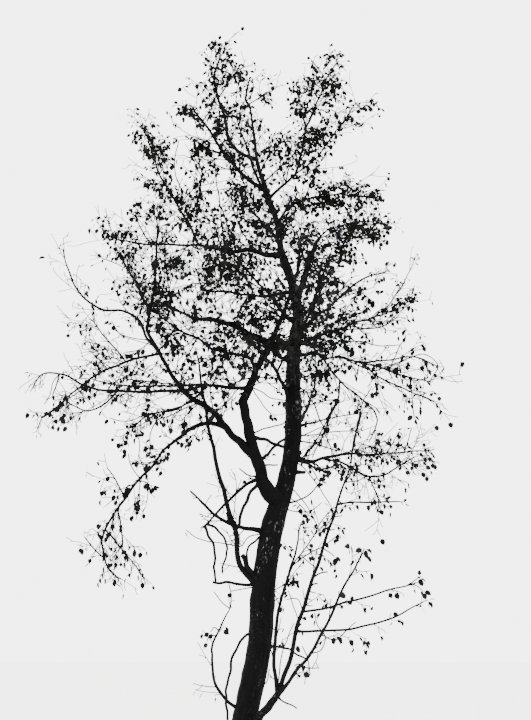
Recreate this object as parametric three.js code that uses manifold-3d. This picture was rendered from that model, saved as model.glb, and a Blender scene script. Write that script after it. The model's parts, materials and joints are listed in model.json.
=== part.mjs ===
// Tall, thin broadleaf tree late in the year: a leaning trunk that forks low, crooked boughs, long whippy
// shoots and a thin scatter of small leaves that still hang on.
// Millimetres, +Z up. The origin is the middle of the flat cut under the trunk, at ground level.
// Seen from the front, +X is to the right and +Y is away. A bearing is an angle in plan: 0 is to the
// right, 90 away, 180 to the left, 270 to the front. A rise is an angle above level; past 90 it leans back.
import * as THREE from "three";
import { mergeVertices } from "three/addons/utils/BufferGeometryUtils.js";
import Module from "manifold-3d";

const wasm = await Module();
wasm.setup();

// Driving sizes
const GAP = 0.4; // clear space between a limb and what it grows from
const TRUNK_LENGTH = 7890; // along its middle line, from the ground to the leader's tip
const TRUNK_SIDES = 15;
const TRUNK_RINGS = 26;
const RING_CROWDING = 1.2; // over 1: a limb's rings stand closer towards its foot
const BOUGH_SIDES = 6;
const STEM_SIDES = 4;
const ARM_SIDES = 3;
const TWIG_SIDES = 3;
const FLARE = 0.62; // how far the roots swell the trunk at the ground, as a share of its radius
const FLARE_HEIGHT = 230; // over this height the flare falls to a third
const ROOT_LOBES = 5;
const COLLAR = 0.3; // how far a bough swells where it leaves its parent
const COLLAR_REACH = 1.6; // in radii of its foot, where that has fallen to a third
const LEAF_LENGTH = 118; // larger than life: each stands for a small spray
const LEAF_WIDTH = 0.68; // share of its length
const LEAF_THICKNESS = 8;
const LEAF_WIDEST = 0.42; // where it is widest, as a share of its length
const STEM_TIP = 3; // radius at the end of a stem
const STEM_FOOT = [0.9, 0.48, 0.42]; // its foot, as a share of a bough's tip that bears 1, 2 or 3 stems
const SEAT = 0.56; // stems that share a tip stand this share of its radius off its middle
const FOOT_SHARE = 0.92; // a foot fills this much of the room inside what it grows from
const TWIG_FOOT = 4.2;
const TWIG_TIP = 2.4;
const STALK = 42; // length of a side leaf's stalk
const LIMB_PIECES = 24; // a limb counts as this many straight pieces in the measuring of clear space
const CLEAR = 9; // what a twig or leaf keeps from limbs and from the next mass's space
const FIRST_TWIG = 0.1; // share of a stem below its first twig
const TWIG_SPAN = 0.88; // share of it along which twigs stand
const GOLDEN_TURN = 137.5; // each twig stands this far round from the last
const TURN_SPREAD = 60; // and up to this much more
const SPLAY = 52; // angle between a twig and its stem
const SPLAY_SPREAD = 16;
const LIFT_SPREAD = 0.3;
const SHORTEST = 0.55; // share of a mass's reach that its shortest twigs have
const REACH_LOSS = 0.4; // how much shorter twigs get towards a stem's tip
const SIDE_SPLAY = 56; // angle between a side leaf's stalk and its twig
const SIDE_STEP = 0.24; // share of the twig between side leaves
const BLADE_SPREAD = 0.4; // how much leaves differ in length
const BLADE_TILT = 0.5;
const THINNEST = 0.012; // triangles are no thinner, so that a solid's skin stays closed
const TRIES = 15; // where a seam would leave a thinner one, a piece is turned about its own line
const LIMB_TURN = 0.13; // by steps of this angle, in radians, to either side
const TWIG_TURN = 0.07;
const BARK = "#2b2a29";
const TWIG_BARK = "#232322";
const LEAVES = "#1d1e1c";

// The trunk's rise and its radius, at equal steps from the ground to the tip of its leader.
const TRUNK = {
  name: "trunk",
  bearing: 0,
  sweep: 30,
  length: TRUNK_LENGTH,
  rises: [80, 80, 78, 78, 86, 84, 80, 72, 78, 86, 90, 88, 82, 98, 110, 98, 108, 110, 98, 98],
  girth: [125, 119, 114, 117, 116, 121, 113, 117, 92, 87, 92, 81, 74, 65, 54, 42, 34, 30, 23, 17, 12],
};

// Boughs and dead limbs: what each grows from, how far along it, its heading, and its radius at foot and
// tip. One with no place along its parent goes on from the parent's tip.
const BOUGHS = [
  { name: "left_stem", on: "trunk", at: 0.38, bearing: [215, 220, 230, 240, 250], length: 1160, foot: 74,
    tip: 46, rises: [40, 65, 65, 60, 60] },
  { name: "left_bend", on: "left_stem", bearing: [330, 290, 305, 310, 310], length: 1160, foot: 46, tip: 18,
    rises: [60, 30, 40, 50, 55] },
  { name: "left_arm", on: "left_stem", at: 0.48, bearing: 205, length: 1480, foot: 44, tip: 18,
    rises: [35, 45, 40, 25, 50, 55] },
  { name: "left_arch", on: "left_arm", at: 0.3, bearing: 170, length: 940, foot: 25, tip: 13,
    rises: [15, -15, -35, -40, -55] },
  { name: "left_level", on: "left_bend", at: 0.12, bearing: 215, length: 500, foot: 21, tip: 15,
    rises: [-10, -5, -5] },
  { name: "left_crook", on: "left_bend", at: 0.32, bearing: 150, length: 670, foot: 20, tip: 13,
    rises: [60, 25, 20, 20] },
  { name: "left_cross", on: "trunk", at: 0.605, bearing: 155, length: 1720, foot: 50, tip: 17,
    rises: [15, 30, 35, 25, 15, 30] },
  { name: "upper_left", on: "trunk", at: 0.75, bearing: 190, length: 990, foot: 34, tip: 17,
    rises: [0, 10, -10, 5, 10] },
  { name: "top_right", on: "trunk", at: 0.845, bearing: 20, length: 550, foot: 19, tip: 14,
    rises: [50, 50, 50] },
  { name: "right_fork", on: "trunk", at: 0.685, bearing: 50, length: 1090, foot: 46, tip: 19,
    rises: [55, 70, 65, 60] },
  { name: "right_arm", on: "trunk", at: 0.625, bearing: -25, length: 450, foot: 30, tip: 15,
    rises: [30, 40, 25] },
  { name: "right_leafy", on: "trunk", at: 0.605, bearing: 50, length: 1010, foot: 26, tip: 15,
    rises: [30, 30, 25] },
  { name: "right_arch", on: "trunk", at: 0.59, bearing: -50, length: 540, foot: 25, tip: 16,
    rises: [-10, -10, -40] },
  { name: "low_right", on: "trunk", at: 0.445, bearing: 30, length: 400, foot: 27, tip: 17,
    rises: [-10, 0, 20] },
  { name: "dead_bough", on: "trunk", at: 0.34, bearing: 200, length: 970, foot: 26, tip: 10,
    rises: [5, 10, 20, 40, 40] },
  { name: "dead_fork", on: "left_stem", at: 0.3, bearing: 215, length: 900, foot: 20, tip: 9,
    rises: [-30, -40, -45, -45] },
  { name: "base_stem", on: "trunk", at: 0.105, bearing: -50, length: 620, foot: 42, tip: 31,
    rises: [20, 40, 40] },
  { name: "back_low", on: "trunk", at: 0.485, bearing: 75, length: 1150, foot: 30, tip: 15,
    rises: [25, 30, 35, 40] },
  { name: "back_mid", on: "trunk", at: 0.64, bearing: 125, length: 900, foot: 30, tip: 15,
    rises: [40, 50, 50] },
  { name: "front_low", on: "trunk", at: 0.545, bearing: 268, length: 900, foot: 28, tip: 14,
    rises: [5, 5, 10] },
  { name: "front_mid", on: "trunk", at: 0.691, bearing: 225, length: 560, foot: 24, tip: 14,
    rises: [-22, -24, -26] },
];

// Masses: a stem that goes on from its bough's tip or leaves the trunk, its side arms, how many twigs
// stand on each metre, how many leaves each carries, how far they reach and whether they lift or hang.
const MASSES = [
  { name: "left_stem_top", on: "left_bend", bearing: 285, length: 880, rises: [25, 40, 85, 110],
    twigs: 8.5, leaves: 1.4, reach: 350, lift: 0.18 },
  { name: "left_arm_rise", on: "left_arm", bearing: 190, sweep: -60, length: 1660,
    rises: [60, 95, 95, 90, 90, 80], twigs: 6.4, leaves: 1.9, reach: 360, lift: 0.06 },
  { name: "left_whip", on: "left_arm", bearing: [225, 210, 200, 200, 200, 200, 200, 200], length: 1590,
    rises: [36, 60, 26, -6, 28, 50, 66, 74], twigs: 2.6, leaves: 1, reach: 280, lift: 0.18 },
  { name: "left_reach", on: "left_arm", bearing: 165, length: 1440, rises: [-5, -15, -15, -30, -35, -40, -30],
    twigs: 3.2, leaves: 1.1, reach: 300, lift: -0.06,
    arms: [{ at: 0.25, bearing: 175, length: 680, rises: [50, 50, 50] }] },
  { name: "left_arch_fall", on: "left_arch", bearing: [155, 155, 155, 155, 155, 20, 20, 20], length: 1410,
    rises: [-40, -45, -50, -55, -60, -85, -65, -35], twigs: 2.6, leaves: 1.3, reach: 220, lift: -0.36,
    arms: [
      { at: 0.58, bearing: 10, length: 660, rises: [-45, -50, -50] },
      { at: 0.31, bearing: 200, length: 370, rises: [60, 50] },
      { at: 0.79, bearing: 190, length: 320, rises: [40, 50] },
      { at: 0.41, bearing: [330, 330, 150], length: 540, rises: [-70, -80, -55] },
    ] },
  { name: "level_mid", on: "left_level", bearing: 205, length: 1170, rises: [-10, -10, -10, -5, -5, 10],
    twigs: 4.4, leaves: 1.1, reach: 280, lift: 0.06 },
  { name: "level_far", on: "left_level", bearing: 180, length: 1900, rises: [-15, -5, 0, 0, 5, 15, 30, 0, -60],
    twigs: 2.2, leaves: 0.8, reach: 260, lift: 0,
    arms: [
      { at: 0.8, bearing: 200, length: 270, rises: [-80, -80] },
      { at: 0.47, bearing: 215, length: 630, rises: [-50, -25, 15] },
    ] },
  { name: "level_low", on: "left_level", bearing: 150, length: 1030, rises: [-35, -20, 0, -10, -25],
    twigs: 4.2, leaves: 1.3, reach: 250, lift: -0.3 },
  { name: "crook_out", on: "left_crook", bearing: 160, length: 1020, rises: [40, 30, 40, 50],
    twigs: 7.5, leaves: 1.3, reach: 320, lift: 0.12 },
  { name: "left_cross_out", on: "left_cross", bearing: 150, length: 1570, rises: [30, 10, 60, 60, 55, 55],
    twigs: 3.6, leaves: 1.5, reach: 340, lift: 0.12,
    arms: [{ at: 0.08, bearing: 110, length: 800, rises: [60, 65, 60] }] },
  { name: "upper_left_out", on: "upper_left", bearing: 200, length: 1150, rises: [-10, -10, -5, 0, 30],
    twigs: 4.6, leaves: 1.8, reach: 300, lift: 0.12,
    arms: [
      { at: 0.47, bearing: 215, length: 420, rises: [45, 55, 70] },
      { at: 0.1, bearing: 160, length: 340, rises: [-50, -20] },
    ] },
  { name: "upper_left_rise", on: "upper_left", bearing: 150, length: 2240, rises: [65, 60, 60, 60, 70, 70, 65],
    twigs: 3.6, leaves: 2, reach: 300, lift: 0.12,
    arms: [{ at: 0.18, bearing: 80, length: 480, rises: [60, 70] }] },
  { name: "top_left", on: "trunk", at: 0.855, bearing: 215, length: 1350, foot: 19,
    rises: [15, 25, 40, 45, 45, 45], twigs: 4.6, leaves: 1.7, reach: 300, lift: 0.18 },
  { name: "top_leader", on: "trunk", at: 0.91, bearing: 160, length: 2110, foot: 16,
    rises: [35, 55, 80, 75, 75, 80, 105, 95], twigs: 3.6, leaves: 2.2, reach: 270, lift: 0.24,
    arms: [{ at: 0.58, bearing: 20, length: 620, rises: [65, 65, 65] }] },
  { name: "trunk_tip", on: "trunk", bearing: [150, 60, 20], length: 560, rises: [70, 80, 80], twigs: 8,
    leaves: 1.4, reach: 260, lift: 0.18, arms: [{ at: 0.14, bearing: 10, length: 450, rises: [40, 40] }] },
  { name: "top_right_rise", on: "top_right", bearing: 25, length: 2090, rises: [75, 80, 70, 70, 70, 60],
    twigs: 3.6, leaves: 2.1, reach: 300, lift: 0.18,
    arms: [{ at: 0.35, bearing: [240, 60, 60], length: 560, rises: [55, 105, 100] }] },
  { name: "top_right_out", on: "top_right", bearing: -40, length: 1100, rises: [15, 30, 40, 40, 40],
    twigs: 6.5, leaves: 1.7, reach: 290, lift: 0.18 },
  { name: "right_high", on: "trunk", at: 0.8, bearing: 45, sweep: -15, length: 2050, foot: 18,
    rises: [60, 40, 30, 25, 15, 15], twigs: 4.4, leaves: 2.3, reach: 310, lift: 0.18 },
  { name: "right_spike", on: "right_fork", bearing: 30, length: 1180, rises: [35, 40, 20, 20],
    twigs: 6.5, leaves: 2.4, reach: 310, lift: 0.18 },
  { name: "right_tuft", on: "right_fork", bearing: -30, length: 960, rises: [25, -55, -20, 0, 0],
    twigs: 8.5, leaves: 2.1, reach: 290, lift: 0.24 },
  { name: "right_arm_out", on: "right_arm", bearing: -15, length: 800, rises: [40, 40, 25, 10],
    twigs: 8, leaves: 1.8, reach: 300, lift: 0.18 },
  { name: "right_rise", on: "trunk", at: 0.65, bearing: -60, length: 860, foot: 19,
    rises: [0, 25, 60, 70, 60], twigs: 7.5, leaves: 1.5, reach: 300, lift: 0.18 },
  { name: "right_leafy_out", on: "right_leafy", bearing: 35, length: 1980, rises: [30, 25, 40, 50, 55, 60],
    twigs: 2.8, leaves: 1.9, reach: 305, lift: 0.18,
    arms: [
      { at: 0.29, bearing: 5, length: 660, rises: [20, 30, 40] },
      { at: 0.08, bearing: -10, length: 740, rises: [-10, 5, 40] },
    ] },
  { name: "right_arch_out", on: "right_arch", bearing: -50, sweep: 40, length: 1280,
    rises: [-10, -25, -25, -25, -25, -15], twigs: 3.2, leaves: 1.3, reach: 260, lift: -0.18,
    arms: [
      { at: 0.13, bearing: -30, length: 1110, rises: [-20, -10, 0, -30] },
      { at: 0.41, bearing: -20, length: 830, rises: [-45, -30, -30] },
    ] },
  { name: "right_arch_low", on: "right_arch", bearing: [-10, -10, -10, -10, -10, 160, 160], length: 1130,
    rises: [-60, -50, -45, -45, -50, -85, -60], twigs: 3.2, leaves: 0.9, reach: 250, lift: -0.18,
    arms: [{ at: 0.25, bearing: 200, length: 930, rises: [-80, -65, -65, -65] }] },
  { name: "low_right_out", on: "low_right", bearing: 30, length: 1650, rises: [15, 5, 10, 10, 10],
    twigs: 4.2, leaves: 1.5, reach: 290, lift: 0.06,
    arms: [{ at: 0.26, bearing: 60, length: 680, rises: [60, 60, 60] }] },
  { name: "low_right_kink", on: "low_right", bearing: -35, length: 1200, rises: [-15, -30, -30, -5, 25, 20],
    twigs: 4.4, leaves: 1.4, reach: 270, lift: -0.12,
    arms: [{ at: 0.52, bearing: -35, length: 340, rises: [-70, -65] }] },
  { name: "left_pole", on: "trunk", at: 0.265, bearing: 195, length: 2700, foot: 19,
    rises: [46, 80, 72, 74, 76, 78, 80, 80], twigs: 1.4, leaves: 1, reach: 240, lift: 0.12 },
  { name: "base_sucker", on: "base_stem", bearing: -10, length: 2210, rises: [70, 75, 70, 70, 70, 70, 70],
    twigs: 1.5, leaves: 0.8, reach: 160, lift: 0.12,
    arms: [
      { at: 0.33, bearing: 0, length: 1140, rises: [10, 15, 15, 15] },
      { at: 0.25, bearing: -5, length: 1220, rises: [0, 5, 10, 20, 25] },
      { at: 0.81, bearing: 0, length: 660, rises: [5, 0, 0] },
    ] },
  { name: "base_second", on: "base_stem", bearing: [150, 80, 70, 65, 60, 60], length: 1860,
    rises: [85, 60, 60, 50, 60, 65], twigs: 3.2, leaves: 1.4, reach: 220, lift: 0.12 },
  { name: "base_whip", on: "base_stem", bearing: -50, length: 1610, rises: [40, 40, 45, 55, 50, 50],
    twigs: 2.2, leaves: 1.2, reach: 200, lift: 0.12 },
  { name: "base_sprout", on: "trunk", at: 0.125, bearing: 200, length: 1140, foot: 9,
    rises: [25, 50, 75, 90, 115, 120], twigs: 2, leaves: 1.2, reach: 160, lift: 0.12 },
  { name: "back_low_out", on: "back_low", bearing: 80, length: 1300, rises: [35, 30, 40, 50, 40],
    twigs: 7, leaves: 1.6, reach: 360, lift: 0.12 },
  { name: "back_mid_out", on: "back_mid", bearing: 145, length: 1120, rises: [50, 52, 56, 56],
    twigs: 5, leaves: 1.8, reach: 340, lift: 0.12,
    arms: [
      { at: 0.45, bearing: 60, length: 970, rises: [62, 62] },
      { at: 0.3, bearing: 185, length: 680, rises: [18, 28] },
    ] },
  { name: "back_high", on: "trunk", at: 0.775, bearing: 120, length: 1700, foot: 18, rises: [45, 50, 50, 55],
    twigs: 5.6, leaves: 1.7, reach: 340, lift: 0.18 },
  { name: "front_low_out", on: "front_low", bearing: 283, length: 1120, rises: [10, 10, 20, 25],
    twigs: 6.5, leaves: 1.4, reach: 340, lift: 0.06 },
  { name: "front_mid_out", on: "front_mid", bearing: 215, length: 984, rises: [-8, -8, -10, 58],
    twigs: 5, leaves: 1.8, reach: 320, lift: 0.06,
    arms: [
      { at: 0.1, bearing: 200, length: 640, rises: [58, 44, 24] },
      { at: 0.5, bearing: 240, length: 510, rises: [20, 22] },
    ] },
  { name: "front_high", on: "trunk", at: 0.81, bearing: 240, length: 1250, foot: 17, rises: [35, 45, 50],
    twigs: 6.5, leaves: 1.6, reach: 310, lift: 0.18 },
];

const UP = new THREE.Vector3(0, 0, 1);
const radians = THREE.MathUtils.degToRad;

// The unit step of a heading.
function heading(bearing, rise) {
  const [b, r] = [radians(bearing), radians(rise)];
  return new THREE.Vector3(Math.cos(r) * Math.cos(b), Math.cos(r) * Math.sin(b), Math.sin(r));
}

// The smooth middle line that leaves `start` and takes equal steps, each with its own rise.
function middleLine(start, row) {
  const steps = row.rises.length;
  const knots = [start.clone()];
  row.rises.forEach((rise, i) => {
    const swept = (row.sweep ?? 0) * (i / Math.max(steps - 1, 1));
    const bearing = Array.isArray(row.bearing) ? row.bearing[i] : row.bearing + swept;
    knots.push(knots[i].clone().addScaledVector(heading(bearing, rise), row.length / steps));
  });
  return new THREE.CatmullRomCurve3(knots, false, "catmullrom", 0.5);
}

// Any direction square to `along`, level where it can be.
function squareTo(along) {
  const side = new THREE.Vector3().crossVectors(along, UP);
  return side.length() < 0.05 ? new THREE.Vector3(1, 0, 0) : side.normalize();
}

// Points to a closed solid: triangles as triples of point numbers.
function solidOf(points, triangles) {
  const geometry = new THREE.BufferGeometry().setFromPoints(points).setIndex(triangles);
  return new wasm.Manifold(
    new wasm.Mesh({
      numProp: 3,
      vertProperties: geometry.attributes.position.array,
      triVerts: new Uint32Array(geometry.index.array),
    }),
  );
}

// The corners of a ring square to `along`. Its radius may change with the angle round it.
function ringCorners(middle, along, across, radius, sides) {
  const third = new THREE.Vector3().crossVectors(along, across);
  return Array.from({ length: sides }, (_, k) => {
    const angle = (2 * Math.PI * k) / sides;
    const out = typeof radius === "function" ? radius(angle) : radius;
    return middle
      .clone()
      .addScaledVector(across, out * Math.cos(angle))
      .addScaledVector(third, out * Math.sin(angle));
  });
}

// A closed skin over rings of corners. It ends in a flat face, or in one point where `point` is given.
function skin(rings, point) {
  const sides = rings[0].length;
  const last = (rings.length - 1) * sides;
  const triangles = [];
  for (let i = 0; i < last; i += sides) {
    for (let k = 0; k < sides; k++) {
      const [a, b] = [i + k, i + ((k + 1) % sides)];
      triangles.push(a, b, b + sides, a, b + sides, a + sides);
    }
  }
  for (let k = 1; k < sides - 1; k++) triangles.push(0, k + 1, k);
  const corners = rings.flat();
  if (!point) {
    for (let k = 1; k < sides - 1; k++) triangles.push(last, last + k, last + k + 1);
    return solidOf(corners, triangles);
  }
  for (let k = 0; k < sides; k++) triangles.push(last + k, last + ((k + 1) % sides), corners.length);
  return solidOf([...corners, point], triangles);
}

// A closed tube of rings, each with its middle, the way the tube runs there and its radius. `turn` turns
// its corners about its line.
function tube(rings, sides, turn) {
  let across = squareTo(rings[0].along).applyAxisAngle(rings[0].along, turn);
  const skins = rings.map(({ middle, along, radius }) => {
    across = across.clone().addScaledVector(along, -across.dot(along)).normalize();
    return ringCorners(middle, along, across, radius, sides);
  });
  return skin(skins);
}

function trunkRadius(share) {
  const place = Math.min(share, 1) * (TRUNK.girth.length - 1);
  const below = Math.min(Math.floor(place), TRUNK.girth.length - 2);
  return THREE.MathUtils.lerp(TRUNK.girth[below], TRUNK.girth[below + 1], place - below);
}

// The trunk: its lowest ring lies flat on the ground, and the lobes of the roots die away above it.
function trunkSolid(trunk, extra) {
  const rings = [];
  for (let i = 0; i <= TRUNK_RINGS; i++) {
    const share = (i / TRUNK_RINGS) ** RING_CROWDING;
    const middle = trunk.line.getPoint(share);
    const swell = FLARE * Math.exp(-middle.z / FLARE_HEIGHT);
    const along = i === 0 ? UP.clone() : trunk.line.getTangent(share);
    const radius = (angle) =>
      trunk.radiusAt(share) * (1 + swell * (0.75 + 0.5 * Math.cos(ROOT_LOBES * angle))) + extra;
    rings.push({ middle, along, radius });
  }
  return tube(rings, TRUNK_SIDES, 0);
}

// A bough swells at its collar, which stands on its parent's bark.
function boughRadius(row, parentRadius) {
  return (share) => {
    const out = Math.max(share * row.length - parentRadius, 0);
    const swell = row.at === undefined ? 0 : COLLAR * Math.exp(-out / (COLLAR_REACH * row.foot));
    return THREE.MathUtils.lerp(row.foot, row.tip, share) + swell * row.foot;
  };
}

// A bough starts on its parent's middle line, or just past its tip, where its foot is square to the parent.
function boughOf(row, parent) {
  const start = parent.line.getPoint(row.at ?? 1);
  const along = row.at === undefined ? parent.line.getTangent(1) : null;
  if (along) start.addScaledVector(along, GAP);
  const radiusAt = boughRadius(row, parent.radiusAt(row.at ?? 1));
  return { name: row.name, line: middleLine(start, row), along, length: row.length, radiusAt };
}

function boughSolid(limb, extra, turn) {
  const rings = [];
  const count = limb.line.points.length + 2;
  for (let i = 0; i <= count; i++) {
    const share = (i / count) ** RING_CROWDING;
    const along = i === 0 && limb.along ? limb.along : limb.line.getTangent(share);
    rings.push({ middle: limb.line.getPoint(share), along, radius: limb.radiusAt(share) + extra });
  }
  return tube(rings, BOUGH_SIDES, turn);
}

// The largest body of a solid, with its sealed hollows filled and loose scraps dropped.
function mainBody(solid) {
  return solid.decompose().reduce((best, body) => (body.volume() > best.volume() ? body : best));
}

// How thin a solid's thinnest triangle is.
function thinnest(solid) {
  const { vertProperties, triVerts } = solid.getMesh();
  const corner = (i) => new THREE.Vector3().fromArray(vertProperties, 3 * triVerts[i]);
  let least = Infinity;
  for (let i = 0; i < triVerts.length; i += 3) {
    const triangle = new THREE.Triangle(corner(i), corner(i + 1), corner(i + 2));
    const { a, b, c } = triangle;
    const longest = Math.max(a.distanceTo(b), b.distanceTo(c), c.distanceTo(a));
    least = Math.min(least, (2 * triangle.getArea()) / longest);
  }
  return least;
}

// The best of several tries, each turned a little further: its solid, its turn and its thinnest triangle.
function bestTry(step, make) {
  let best = { least: -1 };
  for (let k = 0; k < TRIES && best.least < THINNEST; k++) {
    const turn = step * Math.ceil(k / 2) * (k % 2 ? 1 : -1);
    const solid = make(turn);
    const least = thinnest(solid);
    if (least > best.least) best = { solid, turn, least };
  }
  return best;
}

// Seeded throws between 0 and 1.
function dice(seed) {
  let state = seed >>> 0;
  const roll = () => {
    state = (Math.imul(state, 1664525) + 1013904223) >>> 0;
    return state / 4294967296;
  };
  roll();
  roll();
  return roll;
}

// Where a stem's foot sits on its bough's tip: stems that share a tip stand side by side.
function seats(rows, tangent) {
  const ways = rows.map((row) => heading([row.bearing].flat()[0], row.rises[0]));
  const mean = new THREE.Vector3();
  ways.forEach((way) => mean.addScaledVector(way, 1 / rows.length));
  return ways.map((way) => {
    const aside = way.clone().sub(mean);
    aside.addScaledVector(tangent, -aside.dot(tangent));
    return rows.length === 1 ? new THREE.Vector3() : aside.normalize();
  });
}

function lineRadius(line, share) {
  return THREE.MathUtils.lerp(line.foot, STEM_TIP, share);
}

// From a line's middle to the flats of its sides.
function innerRadius(line, share) {
  return lineRadius(line, share) * Math.cos(Math.PI / line.sides);
}

// Lays out each mass's stem and arms: middle lines with their radius at both ends.
function layOutLines(limbs) {
  const masses = [];
  for (const row of MASSES) {
    const parent = limbs.get(row.on);
    const fromTip = row.at === undefined;
    const start = parent.line.getPoint(fromTip ? 1 : row.at);
    let foot = row.foot;
    let along = null;
    if (fromTip) {
      along = parent.line.getTangent(1);
      const sharing = MASSES.filter((other) => other.on === row.on && other.at === undefined);
      const tip = parent.radiusAt(1);
      foot = tip * STEM_FOOT[sharing.length - 1];
      const aside = seats(sharing, along)[sharing.indexOf(row)];
      start.addScaledVector(aside, SEAT * tip).addScaledVector(along, GAP);
    }
    const steps = row.rises.length;
    const stem = { line: middleLine(start, row), length: row.length, foot, steps, along, sides: STEM_SIDES };
    const arms = (row.arms ?? []).map((arm) => ({
      line: middleLine(stem.line.getPoint(arm.at), arm),
      length: arm.length,
      foot: FOOT_SHARE * innerRadius(stem, arm.at),
      steps: arm.rises.length,
      along: null,
      sides: ARM_SIDES,
    }));
    masses.push({ row, lines: [stem, ...arms], onTrunk: !fromTip });
  }
  return masses;
}

// Short straight pieces of a middle line, for measuring how near a point comes.
function pieces(line, count, radiusAt) {
  const list = [];
  for (let i = 0; i < count; i++) {
    const [from, to] = [line.getPoint(i / count), line.getPoint((i + 1) / count)];
    list.push({ span: new THREE.Line3(from, to), radius: radiusAt(i / count) });
  }
  return list;
}

const nearest = new THREE.Vector3();
function distance(point, list) {
  let least = Infinity;
  for (const piece of list) {
    piece.span.closestPointToPoint(point, true, nearest);
    least = Math.min(least, nearest.distanceTo(point) - piece.radius);
  }
  return least;
}

// Whether a point is in its mass's own space: nearer to its own lines than to any other mass's, clear of
// every limb, and above the ground.
function inSpace(point, mass, masses, limbPieces) {
  if (point.z < CLEAR) return false;
  if (distance(point, limbPieces) < CLEAR) return false;
  const own = distance(point, mass.pieces) + 2 * CLEAR;
  return masses.every((other) => other === mass || distance(point, other.pieces) > own);
}

// A sprig is a three-sided twig or stalk with a leaf at its end: the leaf's blade is flat above, with a
// keel below, and is widest before its middle.
function sprigOf(base, out, length, foot, roll) {
  const tip = base.clone().addScaledVector(out, length);
  const flat = squareTo(out).applyAxisAngle(out, 2 * Math.PI * roll());
  const keel = new THREE.Vector3().crossVectors(flat, out);
  const way = out.clone().addScaledVector(keel, BLADE_TILT * (roll() - 0.5)).normalize();
  const blade = LEAF_LENGTH * (1 + BLADE_SPREAD * (roll() - 0.5));
  return { base, tip, out, foot, flat, keel, way, blade };
}

// The sprigs of one line: each twig leaves it at the splay angle, a golden turn round from the last, and
// its side leaves step back from its tip.
function sprigsOf(mass, line, seed) {
  const { row } = mass;
  const count = Math.max(1, Math.round((row.twigs * line.length) / 1000));
  const twigs = [];
  for (let k = 0; k < count; k++) {
    const roll = dice(seed + 7919 * k);
    const share = FIRST_TWIG + (TWIG_SPAN * (k + 0.3 + 0.4 * roll())) / count;
    const base = line.line.getPoint(share);
    const along = line.line.getTangent(share);
    const turn = radians(GOLDEN_TURN * k + TURN_SPREAD * roll());
    const aside = squareTo(along).applyAxisAngle(along, turn);
    const splay = radians(SPLAY + SPLAY_SPREAD * (roll() - 0.5));
    const out = along.clone().multiplyScalar(Math.cos(splay)).addScaledVector(aside, Math.sin(splay));
    out.addScaledVector(UP, row.lift + LIFT_SPREAD * (roll() - 0.5)).normalize();
    const length = row.reach * (SHORTEST + (1 - SHORTEST) * roll()) * (1 - REACH_LOSS * share);
    const foot = Math.min(TWIG_FOOT, FOOT_SHARE * innerRadius(line, share));
    const twig = sprigOf(base, out, length, foot, roll);
    const leaves = Math.floor(row.leaves + roll());
    twig.bare = leaves === 0;
    const side = [];
    for (let j = 1; j < leaves; j++) {
      const root = twig.tip.clone().lerp(base, SIDE_STEP * (j + 0.4));
      const apart = squareTo(out).applyAxisAngle(out, 2 * Math.PI * roll());
      const way = out.clone().multiplyScalar(Math.cos(radians(SIDE_SPLAY)));
      way.addScaledVector(apart, Math.sin(radians(SIDE_SPLAY))).normalize();
      side.push(sprigOf(root, way, STALK, 0.5 * FOOT_SHARE * TWIG_TIP, roll));
    }
    twigs.push({ twig, side });
  }
  return twigs;
}

// The leaf's end and the two ends of its widest place.
function leafSpots(sprig) {
  const wide = sprig.tip.clone().addScaledVector(sprig.way, LEAF_WIDEST * sprig.blade);
  const half = 0.5 * LEAF_WIDTH * sprig.blade;
  return [
    sprig.tip.clone().addScaledVector(sprig.way, sprig.blade),
    wide.clone().addScaledVector(sprig.flat, half),
    wide.clone().addScaledVector(sprig.flat, -half),
  ];
}

function sprigSpots(sprig) {
  const spots = [];
  for (let i = 1; i <= 6; i++) spots.push(sprig.base.clone().lerp(sprig.tip, i / 6));
  return sprig.bare ? spots : [...spots, ...leafSpots(sprig)];
}

function sprigSolid(sprig, turn) {
  const { base, tip, out, foot, flat, keel } = sprig;
  const stalk = [
    ringCorners(base, out, flat.clone().applyAxisAngle(out, turn), foot, TWIG_SIDES),
    ringCorners(tip, out, flat, TWIG_TIP, TWIG_SIDES),
  ];
  if (sprig.bare) return skin(stalk);
  const [end, right, left] = leafSpots(sprig);
  const under = right.clone().add(left).multiplyScalar(0.5).addScaledVector(keel, LEAF_THICKNESS);
  return skin([...stalk, [right, left, under]], end);
}

function lineSolid(line, turn) {
  const rings = [];
  for (let i = 0; i <= line.steps; i++) {
    const share = i / line.steps;
    const along = i === 0 && line.along ? line.along : line.line.getTangent(share);
    rings.push({ middle: line.line.getPoint(share), along, radius: lineRadius(line, share) });
  }
  return tube(rings, line.sides, turn);
}

// One mass: stem, arms, twigs and leaves fused into one solid inside its own space.
function massSolid(mass, masses, limbPieces, trunkFat) {
  const [stem, ...arms] = mass.lines;
  const cut = (solid) => (mass.onTrunk ? mainBody(solid.subtract(trunkFat)) : solid);
  let whole = bestTry(LIMB_TURN, (turn) => cut(lineSolid(stem, turn)));
  for (const arm of arms) {
    const { solid } = whole;
    whole = bestTry(LIMB_TURN, (turn) => solid.add(lineSolid(arm, turn)));
  }
  const fits = (sprig) => sprigSpots(sprig).every((spot) => inSpace(spot, mass, masses, limbPieces));
  const grow = (sprig) => {
    if (!fits(sprig)) return false;
    const grown = bestTry(TWIG_TURN, (turn) => whole.solid.add(sprigSolid(sprig, turn)));
    if (grown.least < Math.min(THINNEST, whole.least)) return false;
    whole = grown;
    mass.leaves += sprig.bare ? 0 : 1;
    return true;
  };
  const seed = 1000003 * (1 + MASSES.indexOf(mass.row));
  mass.leaves = 0;
  mass.lines.forEach((line, n) => {
    for (const { twig, side } of sprigsOf(mass, line, seed + 104729 * n)) {
      if (grow(twig)) side.forEach(grow);
    }
  });
  return mainBody(whole.solid);
}

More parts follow.
